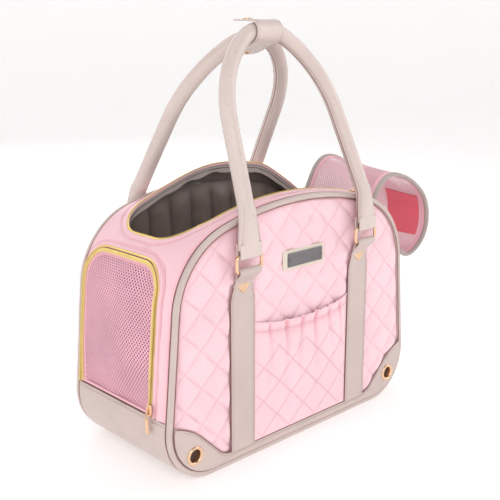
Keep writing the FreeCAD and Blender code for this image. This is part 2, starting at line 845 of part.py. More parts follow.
def build_sliders():
    """Saddle sliders that ride on the frame side of each zip, and their hinged pulls."""
    lift = size("layer_gap") + size("tape_wall") + size("seam_gap")
    lean = math.degrees(BAG.angle)
    low = size("door_foot") + size("slider_foot")
    saddle = doc.addObject("Part::Box", "door_saddle")
    bind(saddle, Length="slider_wall", Width="slider_width", Height="slider_length")
    foot_x = -BAG.side_x(low, lift + size("slider_wall"))
    slider_y = size("door_middle") - size("door_half") - size("slider_width") - size("slider_side_gap")
    saddle.Placement = Placement(V(foot_x, slider_y, low), Rotation(V(0, 1, 0), lean))
    node("door_slider", saddle)
    pull_y = slider_y + (size("slider_width") - size("pull_width")) / 2
    pull_x = foot_x - size("pull_wall") - size("pull_gap")
    node("door_pull", block("door_tag", "pull_wall", "pull_width", "pull_length",
                            (pull_x, pull_y, f"{low} - pull_length")))
    angle = math.degrees(math.asin(size("rim_slider_x") / size("crown_radius")))
    centre = BAG.crown_centre
    base = Placement(V(0, 0, centre[1]), Rotation(V(0, 1, 0), angle))
    rim_y = -size("opening_half") - size("slider_width") - size("slider_side_gap")
    rim = doc.addObject("Part::Box", "rim_saddle")
    bind(rim, Length="slider_length", Width="slider_width", Height="slider_wall")
    top = size("crown_radius") + lift
    rim.Placement = base.multiply(Placement(V(-size("slider_length") / 2, rim_y, top), Rotation()))
    node("rim_slider", rim)
    tag = doc.addObject("Part::Box", "rim_tag")
    bind(tag, Length="pull_length", Width="pull_width", Height="pull_wall")
    tag_y = rim_y + (size("slider_width") - size("pull_width")) / 2
    tag_top = top + size("slider_wall") + size("rim_pull_gap")
    tag_start = size("slider_length") / 2 - size("pull_lap")
    tag.Placement = base.multiply(Placement(V(tag_start, tag_y, tag_top), Rotation()))
    node("rim_pull", tag)


# ---------------------------------------------------------------- folding top cover

def build_flap():
    """Six stiff folds of the top cover, each a flat leaf on a fold line, rolled back at rest."""
    half = size("flap_half")
    gap = size("flap_gap")
    corner = size("flap_corner")
    point = V(size("opening_right"), 0, size("flap_hinge_z"))
    last = len(FLAP_DIRECTIONS) - 1
    for index, direction in enumerate(FLAP_DIRECTIONS):
        length = size("flap_end") if index == last else size("flap_fold")
        if index == last:
            loop = [
                line((gap, -half), (length - corner, -half)),
                arc((length - corner, corner - half), corner, -QUARTER, 0),
                line((length, corner - half), (length, half - corner)),
                arc((length - corner, half - corner), corner, 0, QUARTER),
                line((length - corner, half), (gap, half)),
                line((gap, half), (gap, -half)),
            ]
        else:
            loop = polygon([(gap, -half), (length - gap, -half), (length - gap, half), (gap, half)])
        leaf = padded(f"flap_leaf_{index + 1}", "XY_Plane", [loop], "flap_wall")
        fold = Placement(point, Rotation(V(0, -1, 0), direction))
        leaf.Placement = fold.multiply(Placement(V(0, 0, -size("flap_wall") / 2), Rotation()))
        node(f"flap_panel_{index + 1}", leaf)
        point = fold.multVec(V(length, 0, 0))


# ---------------------------------------------------------------- build, check and write

build_shell()
build_faces()
build_eyelets()
build_inside()
build_pocket()
build_ends()
build_straps()
build_handles()
build_keeper()
build_sliders()
build_flap()
doc.recompute()

for item in doc.Objects:
    if {"Invalid", "Error"} & set(item.State):
        raise RuntimeError(f"{item.Name} failed: {item.State}")
for item in nodes:
    if item.Shape.isNull() or not item.Shape.isValid() or not item.Shape.Solids:
        raise RuntimeError(f"{item.Label} has no valid shape")
for item in nodes:
    item.Shape.exportStep(f"parts/{item.Label}.step")
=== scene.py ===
"""Soft pet carrier bag: the looks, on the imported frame. Sizes below are millimetres."""
import json
import math

import bpy
import numpy as np
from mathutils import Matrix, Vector


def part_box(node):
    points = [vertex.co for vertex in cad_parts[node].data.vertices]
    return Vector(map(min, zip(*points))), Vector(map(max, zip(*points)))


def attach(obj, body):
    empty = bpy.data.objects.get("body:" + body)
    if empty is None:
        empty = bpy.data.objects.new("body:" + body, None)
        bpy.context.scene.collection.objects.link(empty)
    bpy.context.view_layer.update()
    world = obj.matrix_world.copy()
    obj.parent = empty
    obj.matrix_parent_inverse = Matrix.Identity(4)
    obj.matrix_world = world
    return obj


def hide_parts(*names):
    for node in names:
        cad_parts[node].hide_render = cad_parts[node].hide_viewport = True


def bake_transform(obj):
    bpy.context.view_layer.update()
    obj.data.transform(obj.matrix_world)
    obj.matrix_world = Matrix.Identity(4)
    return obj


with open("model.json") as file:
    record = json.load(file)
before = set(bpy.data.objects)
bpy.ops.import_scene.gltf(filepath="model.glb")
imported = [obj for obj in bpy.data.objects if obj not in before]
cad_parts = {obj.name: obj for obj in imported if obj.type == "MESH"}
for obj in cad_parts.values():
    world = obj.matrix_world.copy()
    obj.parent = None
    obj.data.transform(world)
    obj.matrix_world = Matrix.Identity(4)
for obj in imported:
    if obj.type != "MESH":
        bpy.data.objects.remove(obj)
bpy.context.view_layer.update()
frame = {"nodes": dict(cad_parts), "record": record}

MM = 0.001
QUARTER = math.pi / 2


def node_box(name):
    """A CAD node's corners, in millimetres."""
    low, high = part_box(name)
    return np.array(low) / MM, np.array(high) / MM


def joint_spot(name):
    """A joint's place on its axis, in millimetres."""
    joint = next(item for item in frame["record"]["behaviour"]["joints"] if item["name"] == name)
    return np.array(joint["pos_m"]) / MM


# Sizes read from the frame
HEIGHT = node_box("front_piping")[1][2]
HALF_DEPTH = node_box("back_panel")[1][1]
GUSSET = node_box("base_band")[1][1]
BAND_TOP = node_box("base_band")[1][2]
STRAP_FOOT = node_box("front_straps")[0][2]
HINGE = joint_spot("flap_fold_1")

# Side outline of the bag: side line, foot, shoulder and crown arcs
HALF_LENGTH = 200
FOOT = 60.9
LEAN = 0.0941
CROWN = 405.85
SHOULDER = 96.24

# Top opening, end door, window
OPEN_HALF = 62
OPEN_LEFT = 155
OPEN_RIGHT = 158
OPEN_CORNER = 45
DOOR_HALF = 66.5
DOOR_MIDDLE = 9.5
DOOR_TOP = 236
DOOR_CORNER = 30
WINDOW_HALF = 55
WINDOW_LOW = 100
WINDOW_HIGH = 215

# Straps, rings and quilting
STRAP_X = 96.5
STRAP_WIDE = 35
RING_Y = 100
RING_LOW = 225.5
RING_HIGH = 243
RING_HALF = 18
QUILT_WIDE = 44
QUILT_TALL = 42


# How far the door end bulges and the rim behind the opening stands up
END_BULGE = 9
RIM_RISE = 18


def smoothstep(x):
    x = np.clip(x, 0, 1)
    return x * x * (3 - 2 * x)


# ---------------------------------------------------------------- outline

class Outline:
    """A closed arch by running length from the middle of its base, going right: foot, side and crown arcs."""

    def __init__(self, half, foot_radius, lean, height, crown_radius, shoulder_radius):
        angle = math.atan(lean)
        self.normal = np.array([math.cos(angle), math.sin(angle)])
        reach = self.normal @ np.array([half, foot_radius])
        foot_x = (reach - foot_radius - self.normal[1] * foot_radius) / self.normal[0]
        along = np.array([-self.normal[1], self.normal[0]])
        crown = np.array([0, height - crown_radius])
        base = self.normal * (reach - shoulder_radius)
        offset = base - crown
        run = offset @ along
        order = 1 if crown_radius > shoulder_radius else -1
        step = -run + order * math.sqrt(run * run - offset @ offset + (crown_radius - shoulder_radius) ** 2)
        side = base + step * along
        meet = math.atan2(*(order * (side - crown))[::-1])
        foot = np.array([foot_x, foot_radius])
        foot_top = foot + foot_radius * self.normal
        side_top = side + shoulder_radius * self.normal
        mirror = np.array([-1, 1])
        flip = math.pi
        self.parts = []
        self.line(np.array([0, 0]), np.array([foot_x, 0]), -QUARTER)
        self.arc(foot, foot_radius, -QUARTER, angle)
        self.line(foot_top, side_top, angle)
        self.arc(side, shoulder_radius, angle, meet)
        self.arc(crown, crown_radius, meet, flip - meet)
        self.arc(side * mirror, shoulder_radius, flip - meet, flip - angle)
        self.line(side_top * mirror, foot_top * mirror, flip - angle)
        self.arc(foot * mirror, foot_radius, flip - angle, 3 * QUARTER)
        self.line(np.array([-foot_x, 0]), np.array([0, 0]), 3 * QUARTER)
        lengths = [part[0] for part in self.parts]
        self.starts = np.concatenate([[0], np.cumsum(lengths)])
        self.total = self.starts[-1]
        self.table_s = np.linspace(0, self.total, 4001)
        self.table = self.at(self.table_s)[0]

    def line(self, start, end, angle):
        self.parts.append((np.linalg.norm(end - start), "line", start, end, angle))

    def arc(self, centre, radius, start, end):
        self.parts.append((radius * (end - start), "arc", centre, radius, start, end))

    def at(self, s, out=0.0):
        """Points (x, z) and outward normals at running lengths s, moved out by out."""
        s = np.asarray(s, float) % self.total
        out = np.broadcast_to(np.asarray(out, float), s.shape)
        points = np.zeros(s.shape + (2,))
        normals = np.zeros(s.shape + (2,))
        for index, part in enumerate(self.parts):
            if part[0] == 0:
                continue
            inside = (s >= self.starts[index]) & (s <= self.starts[index + 1])
            share = ((s - self.starts[index]) / part[0])[inside][:, None]
            if part[1] == "line":
                direction = np.array([math.cos(part[4]), math.sin(part[4])])
                normals[inside] = direction
                points[inside] = part[2] + share * (part[3] - part[2]) + direction * out[inside][:, None]
            else:
                angles = part[4] + share[:, 0] * (part[5] - part[4])
                direction = np.stack([np.cos(angles), np.sin(angles)], -1)
                normals[inside] = direction
                points[inside] = part[2] + direction * (part[3] + out[inside][:, None])
        return points, normals

    def left_s(self, height):
        """Running length at a height on the left side."""
        half = self.table_s > self.total / 2
        return np.interp(-np.asarray(height), -self.table[half][:, 1], self.table_s[half])

    def right_s(self, height):
        return self.total - self.left_s(height)

    def top_s(self, x):
        """Running length over the top at an x."""
        keep = (self.table_s > self.starts[3]) & (self.table_s < self.starts[6])
        return np.interp(-np.asarray(x), -self.table[keep][:, 0], self.table_s[keep])


BAG = Outline(HALF_LENGTH, FOOT, LEAN, HEIGHT, CROWN, SHOULDER)


def skin(s, y, out):
    """Points and normals on the skin round the bag, at running length s, depth y and distance out."""
    s, y, out = np.broadcast_arrays(np.asarray(s, float), np.asarray(y, float), np.asarray(out, float))
    flat, normals = BAG.at(s.ravel(), out.ravel())
    points = np.stack([flat[:, 0], y.ravel(), flat[:, 1]], -1).reshape(s.shape + (3,))
    normal = np.stack([normals[:, 0], np.zeros(s.size), normals[:, 1]], -1).reshape(s.shape + (3,))
    return relaxed(points, normal), normal


def relaxed(points, normals):
    """The soft skin as it stands: the end bulges behind the door's front zip, and the back rim stands up."""
    x, y, z = (points[..., i] for i in range(3))
    end = smoothstep((z - BAND_TOP) / 60) * smoothstep((272 - z) / 70) * (x < 0)
    reach = np.where(y < 0, DOOR_HALF - DOOR_MIDDLE, GUSSET)
    bulge = END_BULGE * end * np.clip(1 - (y / reach) ** 2, 0, 1)
    along = smoothstep((x + 140) / 150) * smoothstep((150 - x) / 80)
    rise = RIM_RISE * along * smoothstep((GUSSET - 1 - y) / 17) * (y > 0) * (z > 240)
    return points + normals * bulge[..., None] + rise[..., None] * np.array([0, 0, 1])


def column_limits(x, inset):
    """Lowest and highest z of the outline, moved in by inset, at each x."""
    dense = BAG.at(BAG.table_s, -inset)[0]
    quarter = len(dense) // 2
    right = dense[:quarter + 1]
    widest = int(np.argmax(right[:, 0]))
    low = right[:widest + 1]
    high = right[widest:]
    size = np.abs(x)
    return (np.interp(size, low[:, 0], low[:, 1]),
            np.interp(-size, -high[:, 0], high[:, 1]), right[widest, 0])


# ---------------------------------------------------------------- mesh tools

def wave(points, scale, seed=0, octaves=3):
    """Smooth repeatable noise between about -1 and 1, from sums of sines at seeded angles."""
    generator = np.random.default_rng(1000 + seed)
    total = np.zeros(points.shape[:-1])
    weight = 1.0
    for octave in range(octaves):
        for _ in range(4):
            direction = generator.normal(size=points.shape[-1])
            direction /= np.linalg.norm(direction)
            phase = generator.uniform(0, 2 * math.pi)
            pitch = scale / (2 ** octave) * generator.uniform(0.7, 1.4)
            total += weight * np.sin(points @ direction * 2 * math.pi / pitch + phase) / 4
        weight *= 0.5
    return total


def mesh_piece(name, verts, faces, material, body=None, sharp=None, uv=None, crease_shade=None, slot=None):
    """Makes a mesh object from millimetre points; faces may be an array or a list."""
    data = bpy.data.meshes.new(name)
    data.from_pydata((np.asarray(verts) * MM).tolist(), [], [tuple(int(i) for i in f) for f in faces])
    data.polygons.foreach_set("use_smooth", [True] * len(data.polygons))
    if uv is not None:
        layer = data.uv_layers.new(name="cloth")
        index = np.zeros(len(data.loops), dtype=np.int32)
        data.loops.foreach_get("vertex_index", index)
        layer.data.foreach_set("uv", np.asarray(uv)[index].astype(np.float32).ravel())
    # The crease_shade attribute is painted shade: a material darkens towards its shade colour where it is high.
    if crease_shade is not None:
        attribute = data.attributes.new("crease_shade", "FLOAT", "POINT")
        attribute.data.foreach_set("value", np.asarray(crease_shade).astype(np.float32).ravel())
    data.update()
    data.validate()
    if sharp is not None:
        data.set_sharp_from_angle(angle=math.radians(sharp))
    data.materials.append(material)
    piece = bpy.data.objects.new(name, data)
    bpy.context.collection.objects.link(piece)
    if body:
        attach(piece, body)
    return piece


def grid_faces(rows, cols, start=0, flip=False, wrap_rows=False, wrap_cols=False):
    r = np.arange(rows if wrap_rows else rows - 1)
    c = np.arange(cols if wrap_cols else cols - 1)
    rr, cc = np.meshgrid(r, c, indexing="ij")
    r2 = (rr + 1) % rows
    c2 = (cc + 1) % cols
    quads = np.stack([rr * cols + cc, rr * cols + c2, r2 * cols + c2, r2 * cols + cc], -1).reshape(-1, 4)
    if flip:
        quads = quads[:, ::-1]
    return quads + start


def sheet(name, points, normals, thick, material, body, uv=None, crease_shade=None, keep=None, slot=None, sharp=60):
    """A closed sheet from a grid of face points, with its back moved in along the normals."""
    rows, cols = points.shape[:2]
    count = rows * cols
    verts = np.concatenate([points.reshape(-1, 3), (points - normals * thick).reshape(-1, 3)])
    front = grid_faces(rows, cols)
    a, b, c = verts[front[:, 0]], verts[front[:, 1]], verts[front[:, 2]]
    if (np.cross(b - a, c - a) * normals.reshape(-1, 3)[front[:, 0]]).sum() < 0:
        front = front[:, ::-1]
    held = np.ones(front.shape, bool) if keep is None else keep.ravel()[front]
    three = held.sum(axis=1) == 3
    corners = front[three][held[three]].reshape(-1, 3)
    front = front[held.all(axis=1)].tolist() + corners.tolist()
    edges = {}
    for face in front:
        for p, q in zip(face, face[1:] + face[:1]):
            if (q, p) in edges:
                del edges[(q, p)]
            else:
                edges[(p, q)] = True
    rim = [(q, p, p + count, q + count) for p, q in edges]
    faces = front + [[i + count for i in face[::-1]] for face in front] + rim
    used = np.unique(np.concatenate([np.asarray(face) for face in faces]))
    remap = -np.ones(2 * count, int)
    remap[used] = np.arange(len(used))
    faces = [tuple(remap[list(face)]) for face in faces]
    both = lambda array: None if array is None else np.concatenate(
        [array.reshape(count, -1), array.reshape(count, -1)])[used]
    crease_shade_both = both(crease_shade)
    return mesh_piece(name, verts[used], faces, material, body, sharp, both(uv),
                      None if crease_shade_both is None else crease_shade_both[:, 0], slot)


def frames_along(path, closed, up=None):
    """Tangents and side vectors along a path, with as little twist as the path allows."""
    if closed:
        tangents = np.roll(path, -1, 0) - np.roll(path, 1, 0)
    else:
        tangents = np.gradient(path, axis=0)
    tangents /= np.linalg.norm(tangents, axis=1)[:, None]
    if up is not None:
        ups = np.broadcast_to(np.asarray(up, float), path.shape)
        sides = np.cross(tangents, ups)
        sides /= np.linalg.norm(sides, axis=1)[:, None]
        ups = np.cross(sides, tangents)
        return tangents, sides, ups
    sides = np.zeros_like(path)
    side = np.cross(tangents[0], [0, 0, 1])
    if np.linalg.norm(side) < 0.1:
        side = np.cross(tangents[0], [0, 1, 0])
    for i, tangent in enumerate(tangents):
        side = side - tangent * (side @ tangent)
        side /= np.linalg.norm(side)
        sides[i] = side
    return tangents, sides, np.cross(sides, tangents)


def ellipse(count=14):
    angles = np.arange(count) * 2 * math.pi / count
    return np.stack([np.cos(angles), np.sin(angles)], -1)


def rounded_bar(corner=0.3, count=3):
    """A unit square profile with round corners."""
    points = []
    for i, (sx, sy) in enumerate(((1, 1), (-1, 1), (-1, -1), (1, -1))):
        for j in range(count + 1):
            angle = i * QUARTER + j * QUARTER / count
            points.append((sx * (1 - corner) + corner * math.cos(angle),
                           sy * (1 - corner) + corner * math.sin(angle)))
    return np.array(points)


def sweep_mesh(path, profile, wide, tall, closed=False, up=None):
    """Verts and faces of a profile swept along a path, sized by wide and tall at each point."""
    path = np.asarray(path, float)
    count = len(path)
    _, sides, ups = frames_along(path, closed, up)
    wide = np.broadcast_to(np.asarray(wide, float), (count,))
    tall = np.broadcast_to(np.asarray(tall, float), (count,))
    verts = (path[:, None] + sides[:, None] * (profile[None, :, 0] * wide[:, None])[..., None]
             + ups[:, None] * (profile[None, :, 1] * tall[:, None])[..., None])
    m = len(profile)
    faces = [tuple(f) for f in grid_faces(count, m, wrap_rows=closed, wrap_cols=True, flip=True)]
    if not closed:
        faces.append(tuple(range(m)))
        faces.append(tuple(range((count - 1) * m, count * m))[::-1])
    return verts.reshape(-1, 3), faces


def sweep(name, path, profile, wide, tall, material, body, closed=False, up=None, sharp=50, slot=None):
    verts, faces = sweep_mesh(path, profile, wide, tall, closed, up)
    return mesh_piece(name, verts, faces, material, body, sharp, slot=slot)


def resample(path, step, closed=False):
    """A path's points at even steps."""
    path = np.asarray(path, float)
    if closed:
        path = np.concatenate([path, path[:1]])
    lengths = np.concatenate([[0], np.cumsum(np.linalg.norm(np.diff(path, axis=0), axis=1))])
    count = max(2, int(round(lengths[-1] / step)) + (0 if closed else 1))
    targets = np.linspace(0, lengths[-1], count, endpoint=not closed)
    return np.stack([np.interp(targets, lengths, path[:, i]) for i in range(path.shape[1])], -1)


def smooth_path(points, step=3, closed=False):
    """A Catmull-Rom curve through points, resampled."""
    points = np.asarray(points, float)
    if closed:
        padded = np.concatenate([points[-1:], points, points[:2]])
    else:
        padded = np.concatenate([[2 * points[0] - points[1]], points, [2 * points[-1] - points[-2]]])
    t = np.linspace(0, 1, 24, endpoint=False)[:, None]
    pieces = []
    for p0, p1, p2, p3 in zip(padded, padded[1:], padded[2:], padded[3:]):
        pieces.append(0.5 * (2 * p1 + (p2 - p0) * t + (2 * p0 - 5 * p1 + 4 * p2 - p3) * t ** 2
                             + (3 * p1 - p0 - 3 * p2 + p3) * t ** 3))
    curve = np.concatenate(pieces + ([] if closed else [points[-1:]]))
    return resample(curve, step, closed)


BEAD = np.array([[x, y, z] for x in (-1, -0.55, 0.55, 1) for y, z in ((-1, 0), (0, -1), (1, 0), (0, 1))])
BEAD[[0, 1, 2, 3, 12, 13, 14, 15], 1:] *= 0.35
BEAD_FACES = np.concatenate([grid_faces(4, 4, wrap_cols=True, flip=True),
                             [[0, 1, 2, 3], [15, 14, 13, 12]]])


def beads(places, tangents, normals, size):
    """Verts and faces of small rounded beads, such as stitches; size is half length, width, height."""
    sides = np.cross(normals, tangents)
    local = BEAD * np.asarray(size)
    verts = (places[:, None] + tangents[:, None] * local[None, :, :1]
             + sides[:, None] * local[None, :, 1:2] + normals[:, None] * local[None, :, 2:])
    faces = (BEAD_FACES[None] + (np.arange(len(places)) * len(BEAD))[:, None, None]).reshape(-1, 4)
    return verts.reshape(-1, 3), faces


def stitches(name, paths, material, body, pitch=3.4, size=(1.15, 0.33, 0.26), slot=None):
    """Rows of stitches along (points, normals) paths, as one piece."""
    all_verts, all_faces, start = [], [], 0
    for points, normals in paths:
        both = resample(np.concatenate([points, normals], 1), pitch)
        tangents = np.gradient(both[:, :3], axis=0)
        tangents /= np.linalg.norm(tangents, axis=1)[:, None]
        up = both[:, 3:] / np.linalg.norm(both[:, 3:], axis=1)[:, None]
        verts, faces = beads(both[:, :3], tangents, up, size)
        all_verts.append(verts)
        all_faces.append(faces + start)
        start += len(verts)
    return mesh_piece(name, np.concatenate(all_verts), np.concatenate(all_faces), material, body, slot=slot)


def lathe(name, profile, centre, axis, material, body, steps=40, slot=None):
    """A closed profile of (radius, height) turned round an axis."""
    axis = Vector(axis).normalized()
    side = axis.orthogonal().normalized()
    other = axis.cross(side)
    verts = []
    for i in range(steps):
        angle = 2 * math.pi * i / steps
        out = side * math.cos(angle) + other * math.sin(angle)
        for radius, height in profile:
            verts.append(np.array(centre) + np.array(out) * radius + np.array(axis) * height)
    faces = grid_faces(steps, len(profile), wrap_rows=True, wrap_cols=True)
    return mesh_piece(name, verts, faces, material, body, 45, slot=slot)


def joined(name, parts, material, body, sharp=50, slot=None):
    """One piece from several (verts, faces) meshes."""
    verts, faces, start = [], [], 0
    for part_verts, part_faces in parts:
        verts.append(np.asarray(part_verts))
        faces += [tuple(int(i) + start for i in f) for f in part_faces]
        start += len(part_verts)
    return mesh_piece(name, np.concatenate(verts), faces, material, body, sharp, slot=slot)


# ---------------------------------------------------------------- materials

def linear(colour):
    """A linear colour with alpha from an sRGB one of 0 to 255."""
    return [((c / 255 + 0.055) / 1.055) ** 2.4 if c > 10 else c / 255 / 12.92 for c in colour] + [1]


class Maker:
    """Builds one procedural material's nodes."""

    def __init__(self, name, rough=0.5, metal=0.0, sheen=0.0, coat=0.0):
        self.material = bpy.data.materials.new(name)
        self.material.use_nodes = True
        self.tree = self.material.node_tree
        self.shader = self.tree.nodes["Principled BSDF"]
        self.shader.inputs["Metallic"].default_value = metal
        self.shader.inputs["Roughness"].default_value = rough
        self.shader.inputs["Sheen Weight"].default_value = sheen
        self.shader.inputs["Sheen Roughness"].default_value = 0.4
        self.shader.inputs["Coat Weight"].default_value = coat
        self.place = self.tree.nodes.new("ShaderNodeTexCoord").outputs["Object"]
        self.bump = None

    def add(self, kind, **settings):
        made = self.tree.nodes.new(kind)
        for key, value in settings.items():
            setattr(made, key, value)
        return made

    def link(self, output, target):
        self.tree.links.new(output, target)

    def noise(self, scale, detail=3.0, rough=0.5, place=None):
        made = self.add("ShaderNodeTexNoise")
        made.inputs["Scale"].default_value = scale
        made.inputs["Detail"].default_value = detail
        made.inputs["Roughness"].default_value = rough
        self.link(place or self.place, made.inputs["Vector"])
        return made.outputs["Fac"]

    def ramp(self, value, low, high, start=0.0, end=1.0):
        made = self.add("ShaderNodeMapRange")
        for key, number in (("From Min", low), ("From Max", high), ("To Min", start), ("To Max", end)):
            made.inputs[key].default_value = number
        self.link(value, made.inputs["Value"])
        return made.outputs["Result"]

    def math(self, operation, a, b=None):
        made = self.add("ShaderNodeMath", operation=operation)
        for index, value in enumerate((a, b)):
            if value is None:
                continue
            if isinstance(value, (int, float)):
                made.inputs[index].default_value = value
            else:
                self.link(value, made.inputs[index])
        return made.outputs[0]

    def mix(self, share, a, b):
        made = self.add("ShaderNodeMix", data_type="RGBA")
        for key, value in ((0, share), (6, a), (7, b)):
            if isinstance(value, (list, tuple, float, int)):
                made.inputs[key].default_value = value
            else:
                self.link(value, made.inputs[key])
        return made.outputs[2]

    def colour(self, value):
        target = self.shader.inputs["Base Color"]
        if isinstance(value, (list, tuple)):
            target.default_value = value
        else:
            self.link(value, target)

    def roughness(self, value):
        self.link(value, self.shader.inputs["Roughness"])

    def height(self, value, strength, distance):
        """Adds a bump on top of the ones so far; distance is in millimetres."""
        made = self.add("ShaderNodeBump")
        made.inputs["Strength"].default_value = strength
        made.inputs["Distance"].default_value = distance * MM
        self.link(value, made.inputs["Height"])
        if self.bump:
            self.link(self.bump, made.inputs["Normal"])
        self.bump = made.outputs["Normal"]
        self.link(self.bump, self.shader.inputs["Normal"])

    def attribute(self, name):
        return self.add("ShaderNodeAttribute", attribute_name=name).outputs["Fac"]

    def weave(self, pitch):
        """Crossed threads of a plain weave, at a pitch in millimetres."""
        split = self.add("ShaderNodeSeparateXYZ")
        self.link(self.place, split.inputs[0])
        along = self.math("ADD", split.outputs[0], split.outputs[1])
        turns = 2 * math.pi / (pitch * MM)
        first = self.math("SINE", self.math("MULTIPLY", along, turns))
        second = self.math("SINE", self.math("MULTIPLY", split.outputs[2], turns))
        return self.math("MULTIPLY", first, second)


def satin(name, main, shade, rough=0.42, sheen=0.25, pitch=0.55, coat=0.0):
    """Smooth lining or quilt satin with soft colour drift, painted shade in creases and a fine weave."""
    m = Maker(name, rough, sheen=sheen, coat=coat)
    drift = m.ramp(m.noise(14, 3), 0.35, 0.7)
    base = m.mix(drift, linear(main), linear([c * 0.965 for c in main]))
    # Painted shade: the shade colour is mixed in by the crease_shade attribute.
    m.colour(m.mix(m.attribute("crease_shade"), base, linear(shade)))
    m.roughness(m.ramp(m.noise(60, 2), 0.3, 0.7, rough - 0.06, rough + 0.1))
    m.height(m.noise(220, 4, 0.6), 0.25, 0.5)
    m.height(m.weave(pitch), 0.12, 0.12)
    return m.material


def coated(name, main, rough=0.48, grain=0.25, shade=None):
    """Coated fabric: fine pebbled grain, faint mottling, grain cells a touch paler than the lines between them,
    painted shade in creases and soft wrinkles.
    """
    m = Maker(name, rough, sheen=0.05)
    drift = m.ramp(m.noise(18, 4), 0.3, 0.75)
    base = m.mix(drift, linear(main), linear([c * 0.95 for c in main]))
    cell = m.add("ShaderNodeTexVoronoi", feature="DISTANCE_TO_EDGE")
    cell.inputs["Scale"].default_value = 1100
    m.link(m.place, cell.inputs["Vector"])
    grains = m.ramp(cell.outputs["Distance"], 0.0, 0.25)
    base = m.mix(m.math("MULTIPLY", grains, 0.12), base, linear([min(255, c * 1.06) for c in main]))
    # Painted shade: the shade colour is mixed in by the crease_shade attribute.
    m.colour(m.mix(m.attribute("crease_shade"), base, linear(shade or [c * 0.72 for c in main])))
    m.roughness(m.ramp(m.noise(90, 3), 0.3, 0.7, rough - 0.08, rough + 0.08))
    m.height(m.noise(120, 3), 0.18, 0.6)
    m.height(grains, grain, 0.15)
    return m.material


def metal(name, main, rough=0.16, scratch=0.5):
    """Plated metal with fine scratches and slightly uneven polish."""
    m = Maker(name, rough, metal=1.0)
    drift = m.ramp(m.noise(45, 3), 0.3, 0.7)
    m.colour(m.mix(drift, linear(main), linear([c * 0.93 for c in main])))
    fine = m.noise(900, 5, 0.7)
    m.roughness(m.ramp(fine, 0.3, 0.75, rough, rough + 0.14 * scratch))
    m.height(fine, 0.06 * scratch, 0.1)
    return m.material


def netting(name, main, pitch, hole, thread_rough=0.55):
    """Warp-knit mesh: rows of staggered round holes that show what is behind them."""
    m = Maker(name, thread_rough, sheen=0.3)
    uv = m.add("ShaderNodeUVMap", uv_map="cloth").outputs["UV"]
    split = m.add("ShaderNodeSeparateXYZ")
    m.link(uv, split.inputs[0])
    rows = []
    for shift in (0.0, 0.5):
        squares = []
        for axis, tall in ((0, 1.0), (1, 1.3)):
            turned = m.math("ADD", m.math("DIVIDE", split.outputs[axis], pitch * tall), shift)
            offset = m.math("SUBTRACT", m.math("FRACT", turned), 0.5)
            sized = m.math("MULTIPLY", offset, tall)
            squares.append(m.math("MULTIPLY", sized, sized))
        rows.append(m.math("SQRT", m.math("ADD", squares[0], squares[1])))
    distance = m.math("MINIMUM", rows[0], rows[1])
    thread = m.ramp(distance, hole - 0.05, hole + 0.05)
    m.link(thread, m.shader.inputs["Alpha"])
    drift = m.ramp(m.noise(20, 3), 0.3, 0.7)
    m.colour(m.mix(drift, linear(main), linear([c * 0.93 for c in main])))
    m.height(m.ramp(distance, hole, hole + 0.22), 0.6, 0.5)
    return m.material


def plush(name, main):
    """Short pile: clumped tufts and a soft edge sheen."""
    m = Maker(name, 0.9, sheen=0.8)
    tufts = m.noise(420, 5, 0.7)
    m.colour(m.mix(m.ramp(tufts, 0.35, 0.7), linear([c * 0.86 for c in main]), linear(main)))
    m.height(tufts, 0.7, 1.6)
    return m.material


def plain(name, main, rough=0.6, grain=300):
    m = Maker(name, rough)
    fibres = m.noise(grain, 4)
    m.colour(m.mix(m.ramp(fibres, 0.3, 0.7), linear([c * 0.88 for c in main]), linear(main)))
    m.height(fibres, 0.3, 0.3)
    return m.material


# The second colour given to each satin is its painted shade for creases, grooves and folds.
QUILT = satin("quilted satin", (251, 211, 219), (228, 150, 164), 0.34, coat=0.25)
TAPE = satin("pink tape", (250, 194, 206), (215, 130, 146), 0.55, 0.2, 0.9)
BEIGE = coated("beige coated fabric", (209, 191, 185), 0.42, 0.2)
BINDING = satin("grey beige binding", (186, 174, 168), (140, 125, 118), 0.6, 0.2, 0.9)
EDGE = plain("edge paint", (158, 112, 108), 0.45)
THREAD_BEIGE = plain("beige thread", (196, 176, 164), 0.7, 2000)
THREAD_PINK = plain("pink thread", (232, 160, 170), 0.7, 2000)
THREAD_QUILT = plain("quilting thread", (242, 190, 202), 0.7, 2000)
GOLD = metal("zip gold", (240, 212, 136), 0.34)
ROSE = metal("rose gold", (243, 206, 172), 0.16)
STEEL = metal("gunmetal plate", (128, 124, 126), 0.3, 1.0)
NET_DOOR = netting("door mesh", (252, 188, 206), 4.2, 0.25)
NET_FLAP = netting("cover mesh", (252, 196, 208), 3.8, 0.27)
LINING = satin("taupe lining", (120, 106, 99), (62, 51, 46), 0.36, 0.3)
# Painted shade: a dark cloth for the eyelet holes, standing in for the dark inside of the bag seen through them.
SHADE_CLOTH = satin("dark lining", (74, 54, 48), (40, 30, 28), 0.6, 0.1)
PATCH = coated("cream leather", (236, 227, 210), 0.5, 0.3)
PLUSH = plush("mat plush", (236, 226, 218))
BOARD = plain("board", (150, 128, 104), 0.8)
CORD = plain("cotton cord", (222, 214, 196), 0.9, 900)
ROSE_CLOTH = satin("rose cloth", (238, 112, 126), (180, 66, 82), 0.5)


# ---------------------------------------------------------------- shared shapes

def quilting(x, z):
    """Two shares, both 0 on the stitched lines: the diamond's puff and the nearness of a line."""
    a = np.abs(np.sin(math.pi * (x / QUILT_WIDE + z / QUILT_TALL)))
    b = np.abs(np.sin(math.pi * (x / QUILT_WIDE - z / QUILT_TALL)))
    return a * b, np.minimum(a, b)


def quilt_lines(step=1.5):
    """The stitched lines of both families across a face, as arrays of x and z."""
    lines = []
    for way in (-1, 1):
        for number in range(-14, 15):
            z = np.arange(8, 290, step)
            lines.append((QUILT_WIDE * (number - way * z / QUILT_TALL), z))
    return lines


